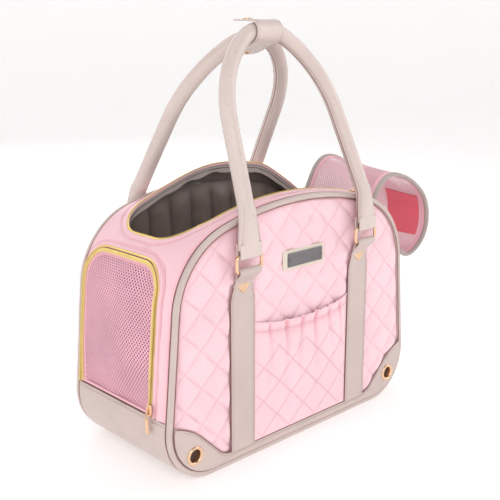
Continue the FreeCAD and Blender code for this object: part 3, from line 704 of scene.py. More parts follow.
def trim_top(x):
    """Top edge of the base trim: low in the middle, with a slope bent at both ends up to each patch."""
    low, high, inner = 17.6, 72.8, 113.0
    foot, crest, sweep = 25.0, 80.4, math.radians(45)
    size = np.abs(np.asarray(x, float))
    slope_x, slope_z = inner + foot * math.sin(sweep), low + foot * (1 - math.cos(sweep))
    head_z = high - crest * (1 - math.cos(sweep))
    head_x = slope_x + (head_z - slope_z) / math.tan(sweep)
    outer = head_x + crest * math.sin(sweep)
    lower = low + foot - np.sqrt(foot ** 2 - np.clip(size - inner, 0, foot * math.sin(sweep)) ** 2)
    middle = slope_z + (size - slope_x) * math.tan(sweep)
    upper = high - crest + np.sqrt(crest ** 2 - np.clip(outer - size, 0, crest * math.sin(sweep)) ** 2)
    return np.where(size < slope_x, lower, np.where(size < head_x, middle, upper))


EYELETS = [(sign * 166, 32) for sign in (-1, 1)]


def away_from_eyelets(x, z, radius=9.0):
    near = np.ones(np.broadcast(x, z).shape, bool)
    for ex, ez in EYELETS:
        near &= (x - ex) ** 2 + (z - ez) ** 2 > radius ** 2
    return near


def face_grid(inset, cols, rows):
    """x and z grids that fill the side outline, moved in by inset."""
    widest = column_limits(np.array([0.0]), inset)[2] - 0.02
    u = np.linspace(-1, 1, cols)
    x = widest * (0.62 * u + 0.38 * np.sin(u * QUARTER))
    low, high, _ = column_limits(x, inset)
    t = np.linspace(0, 1, rows)[:, None]
    return np.broadcast_to(x, (rows, cols)), low + (high - low) * t


def edge_distance(x, z, inset):
    """Distance from points on a face to the outline, moved in by inset."""
    border = BAG.at(np.linspace(0, BAG.total, 361)[:-1], -inset)[0]
    points = np.stack([x.ravel(), z.ravel()], -1)
    best = np.full(len(points), 1e9)
    for bx, bz in border:
        best = np.minimum(best, (points[:, 0] - bx) ** 2 + (points[:, 1] - bz) ** 2)
    return np.sqrt(best).reshape(x.shape)


def on_face(x, z, y):
    return np.stack(np.broadcast_arrays(x, y, z), -1).astype(float)


def face_normal(side, shape):
    return np.broadcast_to(np.array([0.0, side, 0.0]), shape + (3,))


def ribbon(name, points, normals, half, thick, material, body, closed=False, lift=0.0, slot=None):
    """A flat tape laid along points, facing normals."""
    path = points + normals * (lift + thick / 2)
    return sweep(name, path, rounded_bar(0.5, 2), half, thick / 2, material, body, closed, normals, slot=slot)


def teeth(name, points, normals, material, body, closed=False, pitch=2.2, reach=1.5, lift=0.6, side=0.0):
    """Moulded zip teeth across a path, with a bead of coil along their root."""
    both = resample(np.concatenate([points, normals], 1), pitch, closed)
    centre, up = both[:, :3], both[:, 3:]
    up = up / np.linalg.norm(up, axis=1)[:, None]
    if closed:
        tangents = np.roll(centre, -1, 0) - np.roll(centre, 1, 0)
    else:
        tangents = np.gradient(centre, axis=0)
    tangents /= np.linalg.norm(tangents, axis=1)[:, None]
    across = np.cross(up, tangents)
    verts, faces = beads(centre + up * lift + across * side, across, up, (reach, pitch * 0.33, 0.75))
    cord_verts, cord_faces = sweep_mesh(centre + up * (lift * 0.6) + across * side, ellipse(8), reach * 0.55, 0.5,
                                        closed, up)
    return joined(name, [(verts, faces), (cord_verts, cord_faces)], material, body, 40, slot="zip_gold")


# ---------------------------------------------------------------- faces

def panel_surface(x, z, side):
    """Depth of the padded face at x and z, its painted shade in the stitched grooves and along the border, and how
    freely it puffs there.
    """
    border = edge_distance(x, z, 7.3)
    edge = 1 - np.exp(-border / 5)
    place = np.stack([x, z], -1)
    puff, nearest = quilting(x + warp(place), z + warp(place, 1))
    under_strap = smoothstep((STRAP_WIDE / 2 + 3 - np.abs(np.abs(x) - STRAP_X)) / 5) * smoothstep((214 - z) / 8)
    free = (1 - 0.85 * under_strap) * (1 - 0.85 * smoothstep((trim_top(x) + 4 - z) / 6))
    if side < 0:
        free = free * (1 - 0.7 * smoothstep((37 - np.abs(x)) / 5) * smoothstep((14 - np.abs(z - 221)) / 5))
    pulled = np.exp(-(nearest / 0.3) ** 2)
    crumple = wave(place, 15, 5, 3) * (0.4 + 0.6 * pulled)
    sag = 1.1 * np.sin(np.clip((z - 10) / 270, 0, 1) * math.pi) * np.cos(np.clip(x / 200, -1, 1) * QUARTER)
    depth = 83.6 + edge * (2.2 + free * (sag + 4.0 * puff ** 0.5 + 0.42 * crumple))
    # Painted shade: darker in the stitched grooves and along the border by the piping.
    crease_shade = np.clip(0.24 * np.exp(-(nearest / 0.1) ** 2) * free + 0.4 * np.exp(-border / 3), 0, 1)
    return depth, crease_shade, free * (border > 6)


def warp(place, axis=0):
    """How far the quilting strays from straight lines."""
    return 1.2 * (wave(place, 80, 4, 2) if axis else wave(place, 90, 3, 2))


def build_panel(name, side):
    """A padded face: stitched diamonds that puff between their seams and flatten under the straps."""
    x, z = face_grid(7.3, 321, 221)
    depth, crease_shade, _ = panel_surface(x, z, side)
    keep = away_from_eyelets(x, z)
    rows, cols = x.shape
    front = grid_faces(rows, cols)
    front = front[keep.ravel()[front].all(axis=1)]
    verts = on_face(x, z, side * depth).reshape(-1, 3)
    back = on_face(x, z, np.full_like(x, side * 83.1))
    ring = np.concatenate([np.arange(cols), np.arange(2 * cols - 1, rows * cols, cols),
                           np.arange(rows * cols - 2, (rows - 1) * cols - 1, -1),
                           np.arange((rows - 2) * cols, 0, -cols)])
    count = len(verts)
    wall = back.reshape(-1, 3)[ring]
    size = len(ring)
    if side > 0:
        front = front[:, ::-1]
    faces = [tuple(f) for f in front]
    for i in range(size):
        j = (i + 1) % size
        quad = (ring[j], ring[i], count + i, count + j)
        faces.append(quad if side < 0 else quad[::-1])
    faces.append(tuple(range(count, count + size))[::side])
    piece = mesh_piece(name + "_quilt", np.concatenate([verts, wall]), faces, QUILT, "bag", 70,
                       crease_shade=np.concatenate([crease_shade.ravel(), np.zeros(size)]), slot="quilt_pink")
    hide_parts(name)
    rows = []
    for x, z in quilt_lines():
        place = np.stack([x, z], -1)
        x, z = x - warp(place), z - warp(place, 1)
        depth, _, free = panel_surface(x, z, side)
        low, high, widest = column_limits(x, 13)
        shown = (free > 0.8) & away_from_eyelets(x, z, 14) & (np.abs(x) < widest) & (z > low) & (z < high)
        if side < 0:
            shown &= (np.abs(x) > 79) | (z > pocket_top(x) + 2)
        runs = np.split(np.arange(len(x)), np.flatnonzero(np.diff(shown.astype(int))) + 1)
        points = on_face(x, z, side * (depth + 0.1))
        rows += [(points[run], face_normal(side, run.shape)) for run in runs if shown[run[0]] and len(run) > 5]
    stitches(name + "_stitches", rows, THREAD_QUILT, "bag", pitch=3.2, size=(1.05, 0.25, 0.22), slot="quilt_pink")


def build_trim(name, side):
    """Base trim and its two corner patches, cut in one, with a painted edge and a row of stitches."""
    x, _ = face_grid(7.4, 240, 2)
    x = x[0]
    low, high, _ = column_limits(x, 7.4)
    top = np.minimum(trim_top(x), high)
    t = np.linspace(0, 1, 26)[:, None]
    z = low + (top - low) * t
    x = np.broadcast_to(x, z.shape)
    rim = np.minimum(z - low, top - z)
    place = np.stack([x, z], -1)
    depth = 88.5 + 0.9 * (1 - np.exp(-np.maximum(rim, 0) / 1.6)) + 0.12 * wave(place, 25, 11)
    piece = sheet(name + "_leather", on_face(x, z, side * depth), face_normal(side, x.shape), 1.0, BEIGE, "bag",
                  keep=away_from_eyelets(x, z), slot="trim_beige")
    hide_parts(name)
    xs = np.linspace(-190, 190, 260)
    limit = column_limits(xs, 7.4)
    upper = np.minimum(trim_top(xs), limit[1])
    line = on_face(xs, upper, side * 89.0)
    sweep(name + "_edge", smooth_path(line[::2], 2), ellipse(8), 0.5, 0.5, EDGE, "bag", slot="trim_beige")
    inner = on_face(xs[8:-8], upper[8:-8] - 3.0, side * 89.6)
    stitches(name + "_stitches", [(inner, face_normal(side, inner.shape[:1]))], THREAD_BEIGE, "bag",
             slot="trim_beige")


def build_piping(name, side):
    """Cord piping round a face, with a dark painted line on each side."""
    s = np.linspace(0, BAG.total, 420)[:-1]
    path, normal = skin(s, side * 84.5, -3.5)
    sway = 0.12 * wave(path, 60, 21)
    cord = sweep(name + "_cord", path, ellipse(16), 3.45 + sway, 3.45 + sway, BEIGE, "bag", closed=True,
                 up=normal, slot="trim_beige")
    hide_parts(name)
    front_seam = skin(s, side * 87.1, -6.6)[0]
    sweep(name + "_face_seam", front_seam, ellipse(8), 0.42, 0.42, EDGE, "bag", closed=True, slot="trim_beige")
    end_seam = skin(s, side * 81.2, -0.7)[0]
    sweep(name + "_end_seam", end_seam, ellipse(8), 0.42, 0.42, EDGE, "bag", closed=True, slot="trim_beige")


def build_straps(name, side):
    """Webbing straps: flat up the face, narrowed over the heart and looped round the ring's lower bar."""
    rows = []
    pieces = []
    for sign in (-1, 1):
        x = sign * STRAP_X
        bend = np.linspace(-20, 200, 14) * math.pi / 180
        loop = [(RING_Y + 3.25 * math.cos(a), RING_LOW + 3.25 * math.sin(a)) for a in bend]
        shape = ([(89.5, 17.5), (89.5, 60), (89.5, 110), (89.5, 160), (89.5, 196), (90.0, 205), (92.4, 212.5),
                  (97.0, 218), (101.3, 221.6)] + loop + [(96.0, 221), (93.6, 215)])
        path = smooth_path([(x, side * y, z) for y, z in shape], 2.2)
        height = path[:, 2]
        half = np.interp(height, [0, 192, 206, 214, 222, 232], [17.5, 17.5, 14.2, 12.8, 15.2, 15.4])
        turned = np.arange(len(path)) > np.argmax(height)
        half = np.where(turned, 14.5, half)
        pieces.append(sweep_mesh(path, rounded_bar(0.45, 3), half, 1.05))
        for edge in (-1, 1):
            keep = (height < 208) & ~turned
            line = path[keep] + np.stack([edge * (half[keep] - 2.6), np.full(keep.sum(), side * 1.12),
                                          np.zeros(keep.sum())], -1)
            rows.append((line, face_normal(side, line.shape[:1])))
    piece = joined(name + "_webbing", pieces, BEIGE, "bag", 50, slot="trim_beige")
    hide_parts(name)
    stitches(name + "_stitches", rows, THREAD_BEIGE, "bag", slot="trim_beige")
    edges = []
    for line, _ in rows:
        sign = np.sign(line[:, 0] - np.sign(line[:, 0]) * STRAP_X)
        outer = line + np.stack([sign * 2.5, np.full(len(line), -side * 1.0), np.zeros(len(line))], -1)
        edges.append(sweep_mesh(outer, ellipse(6), 0.35, 0.7))
    joined(name + "_edges", edges, EDGE, "bag", slot="trim_beige")


def build_eyelets():
    """Rolled eyelets: a round-lipped flange outside, a barrel and a clenched washer inside."""
    profile = [(7.0, 78.3), (7.0, 89.4)]
    profile += [(9.1 - 2.0 * math.cos(a), 89.4 + 1.7 * math.sin(a)) for a in np.linspace(0.2, math.pi, 9)]
    profile += [(11.0, 89.0), (8.4, 88.9), (8.4, 79.6), (10.8, 79.4), (10.6, 78.5), (8.8, 78.0)]
    # A dark disc behind each eyelet's hole: painted shade for the dark inside of the bag.
    hole_shade_profile = [(0.05, 85.0), (4.0, 84.9), (7.1, 84.4), (7.1, 84.0), (0.05, 84.0)]
    parts = []
    for side in (-1, 1):
        for x, z in EYELETS:
            made = lathe(f"eyelet_{'front' if side < 0 else 'back'}_{'left' if x < 0 else 'right'}", profile,
                         (x, 0, z), (0, side, 0), ROSE, "bag", 48, "rose_gold")
            parts.append(made)
            lathe(made.name.replace("eyelet", "eyelet_backing"), hole_shade_profile, (x, 0, z), (0, side, 0), SHADE_CLOTH,
                  "bag", 32, "lining_taupe")
    for made in parts:
        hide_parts("eyelets")


def build_hearts():
    """Domed heart studs with a rolled edge."""
    across, radius, tip = 3.9, 4.1, 8.9
    angles = np.linspace(0, 2 * math.pi, 61)[:-1]
    span = math.hypot(across, tip)
    touch = math.atan2(-tip, -across) + math.acos(radius / span)
    notch = math.acos(-across / radius)
    lobe = np.linspace(touch, notch, 16)
    right = np.stack([across + radius * np.cos(lobe), radius * np.sin(lobe)], -1)
    outline = np.concatenate([[[0, -tip]], right, right[::-1] * [-1, 1]])
    for side in (-1, 1):
        for sign in (-1, 1):
            rings = []
            for scale, lift in ((1.0, 0.0), (1.06, 0.5), (1.02, 1.1), (0.88, 1.5), (0.66, 1.9), (0.38, 2.15)):
                loop = outline * scale
                rings.append(on_face(sign * STRAP_X + loop[:, 0], 208 + loop[:, 1],
                                     np.full(len(loop), side * (90.6 + lift))))
            verts = np.concatenate(rings)
            count = len(outline)
            faces = [tuple(f) for f in grid_faces(len(rings), count, wrap_cols=True)]
            faces += [tuple(range((len(rings) - 1) * count, len(rings) * count)), tuple(range(count))[::-1]]
            if side > 0:
                faces = [f[::-1] for f in faces]
            label = f"heart_{'front' if side < 0 else 'back'}_{'left' if sign < 0 else 'right'}"
            made = mesh_piece(label, verts, faces, ROSE, "bag", 40, slot="rose_gold")
            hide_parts("heart_studs")


def pocket_top(x):
    return 160 - 8 * (1 - (np.asarray(x) / 78.5) ** 2)


FOLDS = (-58, -33, -6, 19, 44, 64)


def pocket_surface(x, z):
    """Depth of the gathered pouch at x and z, and its painted shade in the folds, at the elastic and in the stitched
    grooves.
    """
    top = pocket_top(x)
    t = (z - 18.4) / (top - 18.4)
    down = top - z
    bulge = (1 - np.abs(np.clip(x / 78.2, -1, 1)) ** 5) * np.clip(1 - (1 - np.clip(t, 0, 1)) ** 2.6, 0, 1)
    neck = np.exp(-((down - 10.5) / 4.5) ** 2)
    folds = np.zeros_like(x)
    for index, place in enumerate(FOLDS):
        drift = place + 2.5 * np.sin(down / 17 + index) + down * 0.05 * math.sin(index * 2.1)
        spread = 1.8 + down * 0.055
        folds += np.exp(-((x - drift) / spread) ** 2) * (1.0 if index % 2 else 0.8)
    fade = np.exp(-np.maximum(down - 6, 0) / 30)
    place = np.stack([x, z], -1)
    puff, nearest = quilting(x + wave(place, 70, 8, 2), z + wave(place, 70, 9, 2))
    lower = smoothstep((down - 12) / 24)
    ripple = 0.9 * np.cos(x * 2 * math.pi / 12.5 + 0.6 * np.sin(x / 9)) * np.exp(-(down / 9) ** 2)
    soft = wave(place * [1.6, 0.5], 30, 10) * 0.7 * np.exp(-down / 45) + 0.3 * wave(place, 14, 12)
    depth = 89.0 + bulge * (5.6 + 2.4 * puff ** 0.5 * lower + soft - 3.4 * folds * fade - 1.3 * neck + ripple)
    # Painted shade: darker in the folds, at the elastic and in the stitched grooves.
    crease_shade = 0.6 * folds * fade + 0.3 * neck + 0.22 * np.exp(-(nearest / 0.12) ** 2) * lower
    return np.clip(depth, 88.4, 98.2), np.clip(crease_shade, 0, 1)


def build_pocket():
    """Gathered pouch: quilted below, pulled into folds by the elastic and ruffled over it."""
    cols, rows = 200, 140
    x = np.broadcast_to(np.linspace(-78.2, 78.2, cols), (rows, cols))
    z = 18.4 + (pocket_top(x) - 18.4) * np.linspace(0, 1, rows)[:, None]
    depth, crease_shade = pocket_surface(x, z)
    points = on_face(x, z, -depth)
    piece = sheet("pocket_cloth", points, face_normal(-1, x.shape), 1.3, QUILT, "bag", crease_shade=crease_shade,
                  slot="quilt_pink", sharp=80)
    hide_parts("pocket")
    hem = points[-1] + np.array([0, 0, 0.2])
    roll = sweep("pocket_hem", hem, ellipse(10), 1.0, 1.0, QUILT, "bag", slot="smooth_pink")
    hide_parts("pocket_elastic")
    seam_row = int(rows * 0.925)
    seam = points[seam_row][4:-4] + np.array([0, -0.2, 0])
    stitches("pocket_elastic_stitches", [(seam, face_normal(-1, seam.shape[:1]))], THREAD_PINK, "bag",
             pitch=2.8, size=(0.9, 0.28, 0.25), slot="smooth_pink")
    rows = []
    for x, z in quilt_lines():
        place = np.stack([x, z], -1)
        x, z = x - wave(place, 70, 8, 2), z - wave(place, 70, 9, 2)
        keep = (np.abs(x) < 75) & (z > 24) & (z < pocket_top(x) - 26)
        if keep.sum() > 5:
            points = on_face(x[keep], z[keep], -pocket_surface(x[keep], z[keep])[0] - 0.75)
            rows.append((points, face_normal(-1, points.shape[:1])))
    stitches("pocket_stitches", rows, THREAD_QUILT, "bag", pitch=3.2, size=(1.05, 0.25, 0.22), slot="quilt_pink")


def rounded_loop(half_x, half_z, corner, count=6):
    loop = []
    for i, (sx, sz) in enumerate(((1, 1), (-1, 1), (-1, -1), (1, -1))):
        for j in range(count + 1):
            angle = i * QUARTER + j * QUARTER / count
            loop.append((sx * (half_x - corner) + corner * math.cos(angle),
                         sz * (half_z - corner) + corner * math.sin(angle)))
    return np.array(loop)


def plate(name, origin, axes, half_u, half_v, corner, steps, material, body, slot, replaced=None):
    """A flat plate built up along its third axis; steps are (inset, lift) from its base outwards."""
    u, v, w = (np.array(axis, float) for axis in axes)
    rings = []
    for inset, lift in steps:
        loop = rounded_loop(half_u - inset, half_v - inset, max(corner - inset, 0.4))
        rings.append(np.array(origin, float) + loop[:, :1] * u + loop[:, 1:] * v + lift * w)
    count = len(rings[0])
    faces = [tuple(f) for f in grid_faces(len(rings), count, wrap_cols=True)]
    faces += [tuple(range((len(rings) - 1) * count, len(rings) * count)), tuple(range(count))[::-1]]
    if np.cross(u, v) @ w < 0:
        faces = [f[::-1] for f in faces]
    made = mesh_piece(name, np.concatenate(rings), faces, material, body, 35, slot=slot)
    if replaced:
        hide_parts(replaced)
    return made


def build_label():
    """Sewn cream patch with a blank bevelled plate held by two pins."""
    low, high = node_box("name_patch")
    middle = (low[2] + high[2]) / 2
    axes = ((1, 0, 0), (0, 0, 1), (0, -1, 0))
    plate("name_patch_leather", (0, -87.6, middle), axes, 33.6, 11.3, 2,
          ((0, 0), (0, 1.3), (0.5, 1.8)), PATCH, "bag", "cream_patch", "name_patch")
    border = rounded_loop(31.6, 9.4, 1.5)
    line = on_face(border[:, 0], middle + border[:, 1], np.full(len(border), -89.5))
    line = np.concatenate([line, line[:1]])
    stitches("name_patch_stitches", [(line, face_normal(-1, line.shape[:1]))], THREAD_BEIGE, "bag",
             pitch=2.4, size=(0.8, 0.25, 0.2), slot="cream_patch")
    plate("name_plate_metal", (1.2, -89.5, middle), axes, 28.5, 8.0, 1.2,
          ((0, 0), (0, 0.8), (0.7, 1.3), (1.6, 1.3), (1.9, 1.1)), STEEL, "bag", "gunmetal", "name_plate")
    for sign in (-1, 1):
        lathe(f"name_plate_pin_{'left' if sign < 0 else 'right'}",
              [(0.05, 0), (1.1, 0), (1.1, 0.5), (0.8, 0.85), (0.05, 0.95)],
              (1.2 + sign * 25.5, -90.5, middle), (0, -1, 0), STEEL, "bag", 20, "gunmetal")


for label, way in (("front", -1), ("back", 1)):
    build_panel(f"{label}_panel", way)
    build_trim(f"{label}_base_trim", way)
    build_piping(f"{label}_piping", way)
    build_straps(f"{label}_straps", way)
build_eyelets()
build_hearts()
build_pocket()
build_label()


# ---------------------------------------------------------------- shell with openings

def door_path(grow, foot=77.0):
    """The end door's outline grown by some margin, from the front foot over the top, as (s, y)."""
    half = DOOR_HALF + grow
    corner = DOOR_CORNER + grow
    top = DOOR_TOP + grow
    turns = np.linspace(0, QUARTER, 14)
    leg = [(-half, z) for z in np.linspace(foot, top - corner, 60)[:-1]]
    bend = [(-half + corner - corner * math.cos(a), top - corner + corner * math.sin(a)) for a in turns]
    over = [(y, top) for y in np.linspace(-half + corner, 0, 20)[1:]]
    front = np.array(leg + bend + over)
    whole = np.concatenate([front, front[-2::-1] * [-1, 1]])
    return np.stack([BAG.left_s(whole[:, 1]), whole[:, 0] + DOOR_MIDDLE], -1)


def opening_path(grow):
    """The top opening's outline grown by some margin, from the front right round the left end, as (s, y)."""
    half = OPEN_HALF + grow
    corner = OPEN_CORNER + grow
    left = -OPEN_LEFT - grow
    turns = np.linspace(0, QUARTER, 20)
    side = [(x, -half) for x in np.linspace(OPEN_RIGHT, left + corner, 120)[:-1]]
    bend = [(left + corner - corner * math.sin(a), -half + corner - corner * math.cos(a)) for a in turns]
    end = [(left, y) for y in np.linspace(-half + corner, 0, 10)[1:]]
    front = np.array(side + bend + end)
    whole = np.concatenate([front, front[-2::-1] * [1, -1]])
    return np.stack([BAG.top_s(whole[:, 0]), whole[:, 1]], -1)


def window_path(grow):
    """The right end window's closed outline grown by some margin, as (s, y)."""
    middle = (WINDOW_HIGH + WINDOW_LOW) / 2
    tall = (WINDOW_HIGH - WINDOW_LOW) / 2
    plain_loop, loop = (rounded_loop(WINDOW_HALF + g, tall + g, 20 + g, 10) for g in (0, grow))
    plain_loop, loop = (np.concatenate([item, item[:1]]) for item in (plain_loop, loop))
    run = np.concatenate([[0], np.cumsum(np.linalg.norm(np.diff(plain_loop, axis=0), axis=1))])
    at = np.linspace(0, run[-1], 121)[:-1]
    y, z = (np.interp(at, run, loop[:, i]) for i in (0, 1))
    return np.stack([BAG.right_s(middle + z), y], -1)


def inside(polygon, s, y):
    """Distance from points to a closed polygon's edge, positive inside it."""
    nearest = np.full(s.shape, 1e9)
    within = np.zeros(s.shape, bool)
    for (s1, y1), (s2, y2) in zip(polygon, np.roll(polygon, -1, 0)):
        ds, dy = s2 - s1, y2 - y1
        t = np.clip(((s - s1) * ds + (y - y1) * dy) / (ds * ds + dy * dy + 1e-12), 0, 1)
        nearest = np.minimum(nearest, (s - s1 - t * ds) ** 2 + (y - y1 - t * dy) ** 2)
        crossing = (y1 > y) != (y2 > y)
        within ^= crossing & (s < s1 + (y - y1) * ds / (dy if abs(dy) > 1e-12 else 1e-12))
    return np.sqrt(nearest) * np.where(within, 1, -1)


def footed(path, foot=60.0):
    """A door outline carried down past its foot, so that it closes below the end panel."""
    low = BAG.left_s(foot)
    return np.concatenate([[[low, path[0, 1]]], path, [[low, path[-1, 1]]]])


OPENING = opening_path(0)
DOORWAY = footed(door_path(0))
WINDOW = window_path(0)


def patch(name, s_range, y_range, step, field, rise, thick, material, body, slot=None, colour=None):
    """A sheet on the bag's skin wherever field(s, y) is positive, with its edge on the field's zero line."""
    rows = int((s_range[1] - s_range[0]) / step) + 2
    cols = int((y_range[1] - y_range[0]) / step) + 2
    s, y = np.meshgrid(np.linspace(*s_range, rows), np.linspace(*y_range, cols), indexing="ij")
    keep = None
    if field:
        for _ in range(2):
            value = field(s, y)
            near = np.abs(value) < 0.55 * step
            ds = (field(s + 0.01, y) - value) / 0.01
            dy = (field(s, y + 0.01) - value) / 0.01
            s = np.where(near, s - value * ds, s)
            y = np.where(near, y - value * dy, y)
        keep = field(s, y) > -0.06
    points, normals = skin(s, y, rise(s, y) if callable(rise) else rise)
    # colour gives painted shade over the sheet, carried by the crease_shade attribute.
    crease_shade = colour(s, y) if colour else None
    return sheet(name, points, normals, thick, material, body, uv=np.stack([y, s], -1), crease_shade=crease_shade,
                 keep=keep, slot=slot, sharp=70)


def band(name, first, second, rise, thick, material, body, puff=0.0, cols=6, slot=None, closed=False):
    """A strip on the skin between two matched (s, y) paths, puffed along its middle."""
    if closed:
        first, second = (np.concatenate([path, path[:1]]) for path in (first, second))
    t = np.linspace(0, 1, cols)[None, :, None]
    both = first[:, None] * (1 - t) + second[:, None] * t
    hump = puff * (1 - (2 * t[..., 0] - 1) ** 4)
    points, normals = skin(both[..., 0], both[..., 1], rise + hump + 0 * both[..., 0])
    return sheet(name, points, normals, thick, material, body, uv=both, slot=slot)


def seam_line(name, path, rise, radius, material, closed=False, body="bag", slot=None):
    points, normals = skin(path[:, 0], path[:, 1], rise)
    return sweep(name, points, ellipse(8), radius, radius, material, body, closed, normals, slot=slot)


def seam_stitches(name, path, rise, material, body="bag", closed=False, slot=None):
    points, normals = skin(path[:, 0], path[:, 1], rise)
    if closed:
        points, normals = np.concatenate([points, points[:1]]), np.concatenate([normals, normals[:1]])
    return stitches(name, [(points, normals)], material, body, slot=slot)


RIM_SEAM = 8.6
DOOR_SEAM = 8.2
BAND_LEFT = BAG.left_s(BAND_TOP)
BAND_RIGHT = BAG.right_s(BAND_TOP)
TOP_LEFT = BAG.top_s(-OPEN_LEFT)
TOP_RIGHT = BAG.top_s(OPEN_RIGHT)


def shell_rise(s, y):
    """Soft fabric over the ends and rim: puffed strips by each zip, seam grooves and long folds."""
    place = np.stack([s, y], -1)
    from_opening = -inside(OPENING, s, y)
    from_door = -inside(DOORWAY, s, y)
    from_window = -inside(WINDOW, s, y)
    edge = np.clip((GUSSET - np.abs(y)) / 5, 0, 1)
    calm = smoothstep(np.minimum(np.minimum(from_opening, from_door), from_window) / 22)
    folds = 1.5 * wave(place * [0.7, 1.0], 95, 31, 2) * calm + 0.22 * wave(place, 24, 32)
    groove = np.exp(-((from_opening - RIM_SEAM) / 1.1) ** 2) + np.exp(-((from_door - DOOR_SEAM) / 1.3) ** 2)
    puffs = 0.9 * np.sin(np.clip(from_opening / RIM_SEAM, 0, 1) * math.pi) * (from_opening < RIM_SEAM)
    puffs = puffs + 0.7 * np.sin(np.clip(from_door / DOOR_SEAM, 0, 1) * math.pi) * (from_door < DOOR_SEAM)
    return edge * (0.7 + folds + puffs) - 0.7 * groove - 0.6 * (1 - edge)


# Painted shade for the end and rim fabric: darker in the seam grooves, next to the door zip and along the piping.
def shell_shade(s, y):
    from_opening = -inside(OPENING, s, y)
    from_door = -inside(DOORWAY, s, y)
    groove = np.exp(-((from_opening - RIM_SEAM) / 1.2) ** 2) + np.exp(-((from_door - DOOR_SEAM) / 1.5) ** 2)
    shade = 0.35 * np.exp(-np.maximum(from_door, 0) / 2.5) + 0.5 * np.exp(-(GUSSET - np.abs(y)) / 2)
    return np.clip(0.55 * groove + shade, 0, 1)


def around(*holes):
    return lambda s, y: -np.maximum.reduce([inside(hole, s, y) for hole in holes])


def build_shell():
    """Pink fabric round the ends and rim, in four pieces, with its seams and stitches."""
    pieces = (("left_end_panel", (TOP_LEFT, BAND_LEFT), (-GUSSET, GUSSET), around(DOORWAY)),
              ("right_end_panel", (BAND_RIGHT, TOP_RIGHT), (-GUSSET, GUSSET), around(WINDOW)),
              ("front_rim_strip", (TOP_RIGHT, TOP_LEFT), (-GUSSET, -14), around(OPENING)),
              ("back_rim_strip", (TOP_RIGHT, TOP_LEFT), (14, GUSSET), around(OPENING)))
    for name, s_range, y_range, field in pieces:
        made = patch(name + "_cloth", s_range, y_range, 2.3, field, shell_rise, 1.8, SMOOTH, "bag", "smooth_pink",
                     shell_shade)
        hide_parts(name)
    rim = opening_path(RIM_SEAM + 1.8)
    seam_stitches("rim_seam_stitches", rim, 0.55, THREAD_PINK, slot="smooth_pink")
    door = door_path(DOOR_SEAM + 2.0, BAND_TOP)
    seam_stitches("door_seam_stitches", door, 0.6, THREAD_PINK, slot="smooth_pink")
    window = window_path(9)
    seam_stitches("window_stitches", window, 1.9, THREAD_PINK, closed=True, slot="smooth_pink")
    band("window_border", window_path(-1.5), window_path(7), 0.9, 1.2, TAPE, "bag", 0.7,
         slot="smooth_pink", closed=True)
    net = patch("window_net", (BAG.right_s(WINDOW_LOW - 3), BAG.right_s(WINDOW_HIGH + 3)), (-58, 58), 3,
                lambda s, y: inside(window_path(2.5), s, y), -1.0, 0.8, NET_DOOR, "bag", "mesh_pink")
    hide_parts("right_window_mesh")


def build_band():
    """Coated base band, up both ends and under the bag, with a painted top edge and stitches."""
    s_range = (BAND_LEFT - BAG.total, BAND_RIGHT)

    def rise(s, y):
        place = np.stack([s, y], -1)
        edge = np.clip((GUSSET - np.abs(y)) / 4, 0, 1)
        top = np.minimum(s - s_range[0], s_range[1] - s)
        height = skin(s, y, 0)[0][..., 2]
        lifted = smoothstep(height / 12)
        return (edge * (0.9 + 0.5 * wave(place, 70, 41, 2)) * (1 - np.exp(-top / 1.2)) * lifted - 0.8 * (1 - edge)
                + 0.45 * edge * np.exp(-((top - 3.2) / 8) ** 2))

    made = patch("base_band_leather", s_range, (-GUSSET, GUSSET), 2.6, None, rise, 1.9, BEIGE, "bag",
                 "trim_beige")
    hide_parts("base_band")
    y = np.linspace(-GUSSET + 1, GUSSET - 1, 60)
    for label, s, way in (("left", BAND_LEFT, -1), ("right", BAND_RIGHT, -1)):
        sign = -1 if label == "left" else 1
        path = np.stack([np.full_like(y, s + sign * 0.2), y], -1)
        seam_line(f"base_band_{label}_edge", path, 0.35, 0.55, EDGE, slot="trim_beige")
        path = np.stack([np.full_like(y, s + (3.4 if sign < 0 else -3.4)), y], -1)
        seam_stitches(f"base_band_{label}_stitches", path, 1.75, THREAD_BEIGE, slot="trim_beige")


def net_door():
    """Mesh door with a padded tape border, a foot tape and a row of stitches; its half of the zip is built in
    build_zips.
    """
    foot = node_box("door_panel")[0][2] + 0.2
    rim = footed(door_path(-5.6))
    low = BAG.left_s(foot)
    s_range = (BAG.left_s(DOOR_TOP), low)

    def rise(s, y):
        place = np.stack([s, y], -1)
        deep = smoothstep(inside(DOORWAY, s, y) / 26)
        return -0.9 - 1.6 * deep + 1.1 * wave(place, 80, 51, 2) * deep

    made = patch("door_net", s_range, (DOOR_MIDDLE - DOOR_HALF, DOOR_MIDDLE + DOOR_HALF), 2.6,
                 lambda s, y: inside(rim, s, y), rise, 0.8,
                 NET_DOOR, "door", "mesh_pink")
    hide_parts("door_panel")
    band("door_border", door_path(-1.3, foot), door_path(-7.0, foot), -0.9, 1.4, TAPE, "door", 0.8,
         slot="mesh_pink")
    foot_y = DOOR_MIDDLE + np.linspace(-DOOR_HALF + 2, DOOR_HALF - 2, 50)
    foot_path = [np.stack([np.full_like(foot_y, low - up), foot_y], -1) for up in (0.2, 3.2)]
    band("door_foot_tape", *foot_path, -0.6, 1.4, TAPE, "door", 0.9, slot="mesh_pink")
    seam_stitches("door_border_stitches", door_path(-6.0, foot + 5), 0.4, THREAD_PINK, "door", slot="mesh_pink")


def zip_half(name, path, tape_from, tape_to, shift, body, rise, ends=None):
    """One half of a zip: its woven tape and its row of teeth, on a path family and a body."""
    band(name + "_tape", path(tape_from), path(tape_to), rise, 0.9, ZIP_TAPE, body, 0.15, 5, slot="zip_gold")
    points, normals = skin(*path(shift).T, rise)
    made = teeth(name + "_teeth", points, normals, GOLD, body, lift=0.45, reach=1.35)
    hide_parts(name)


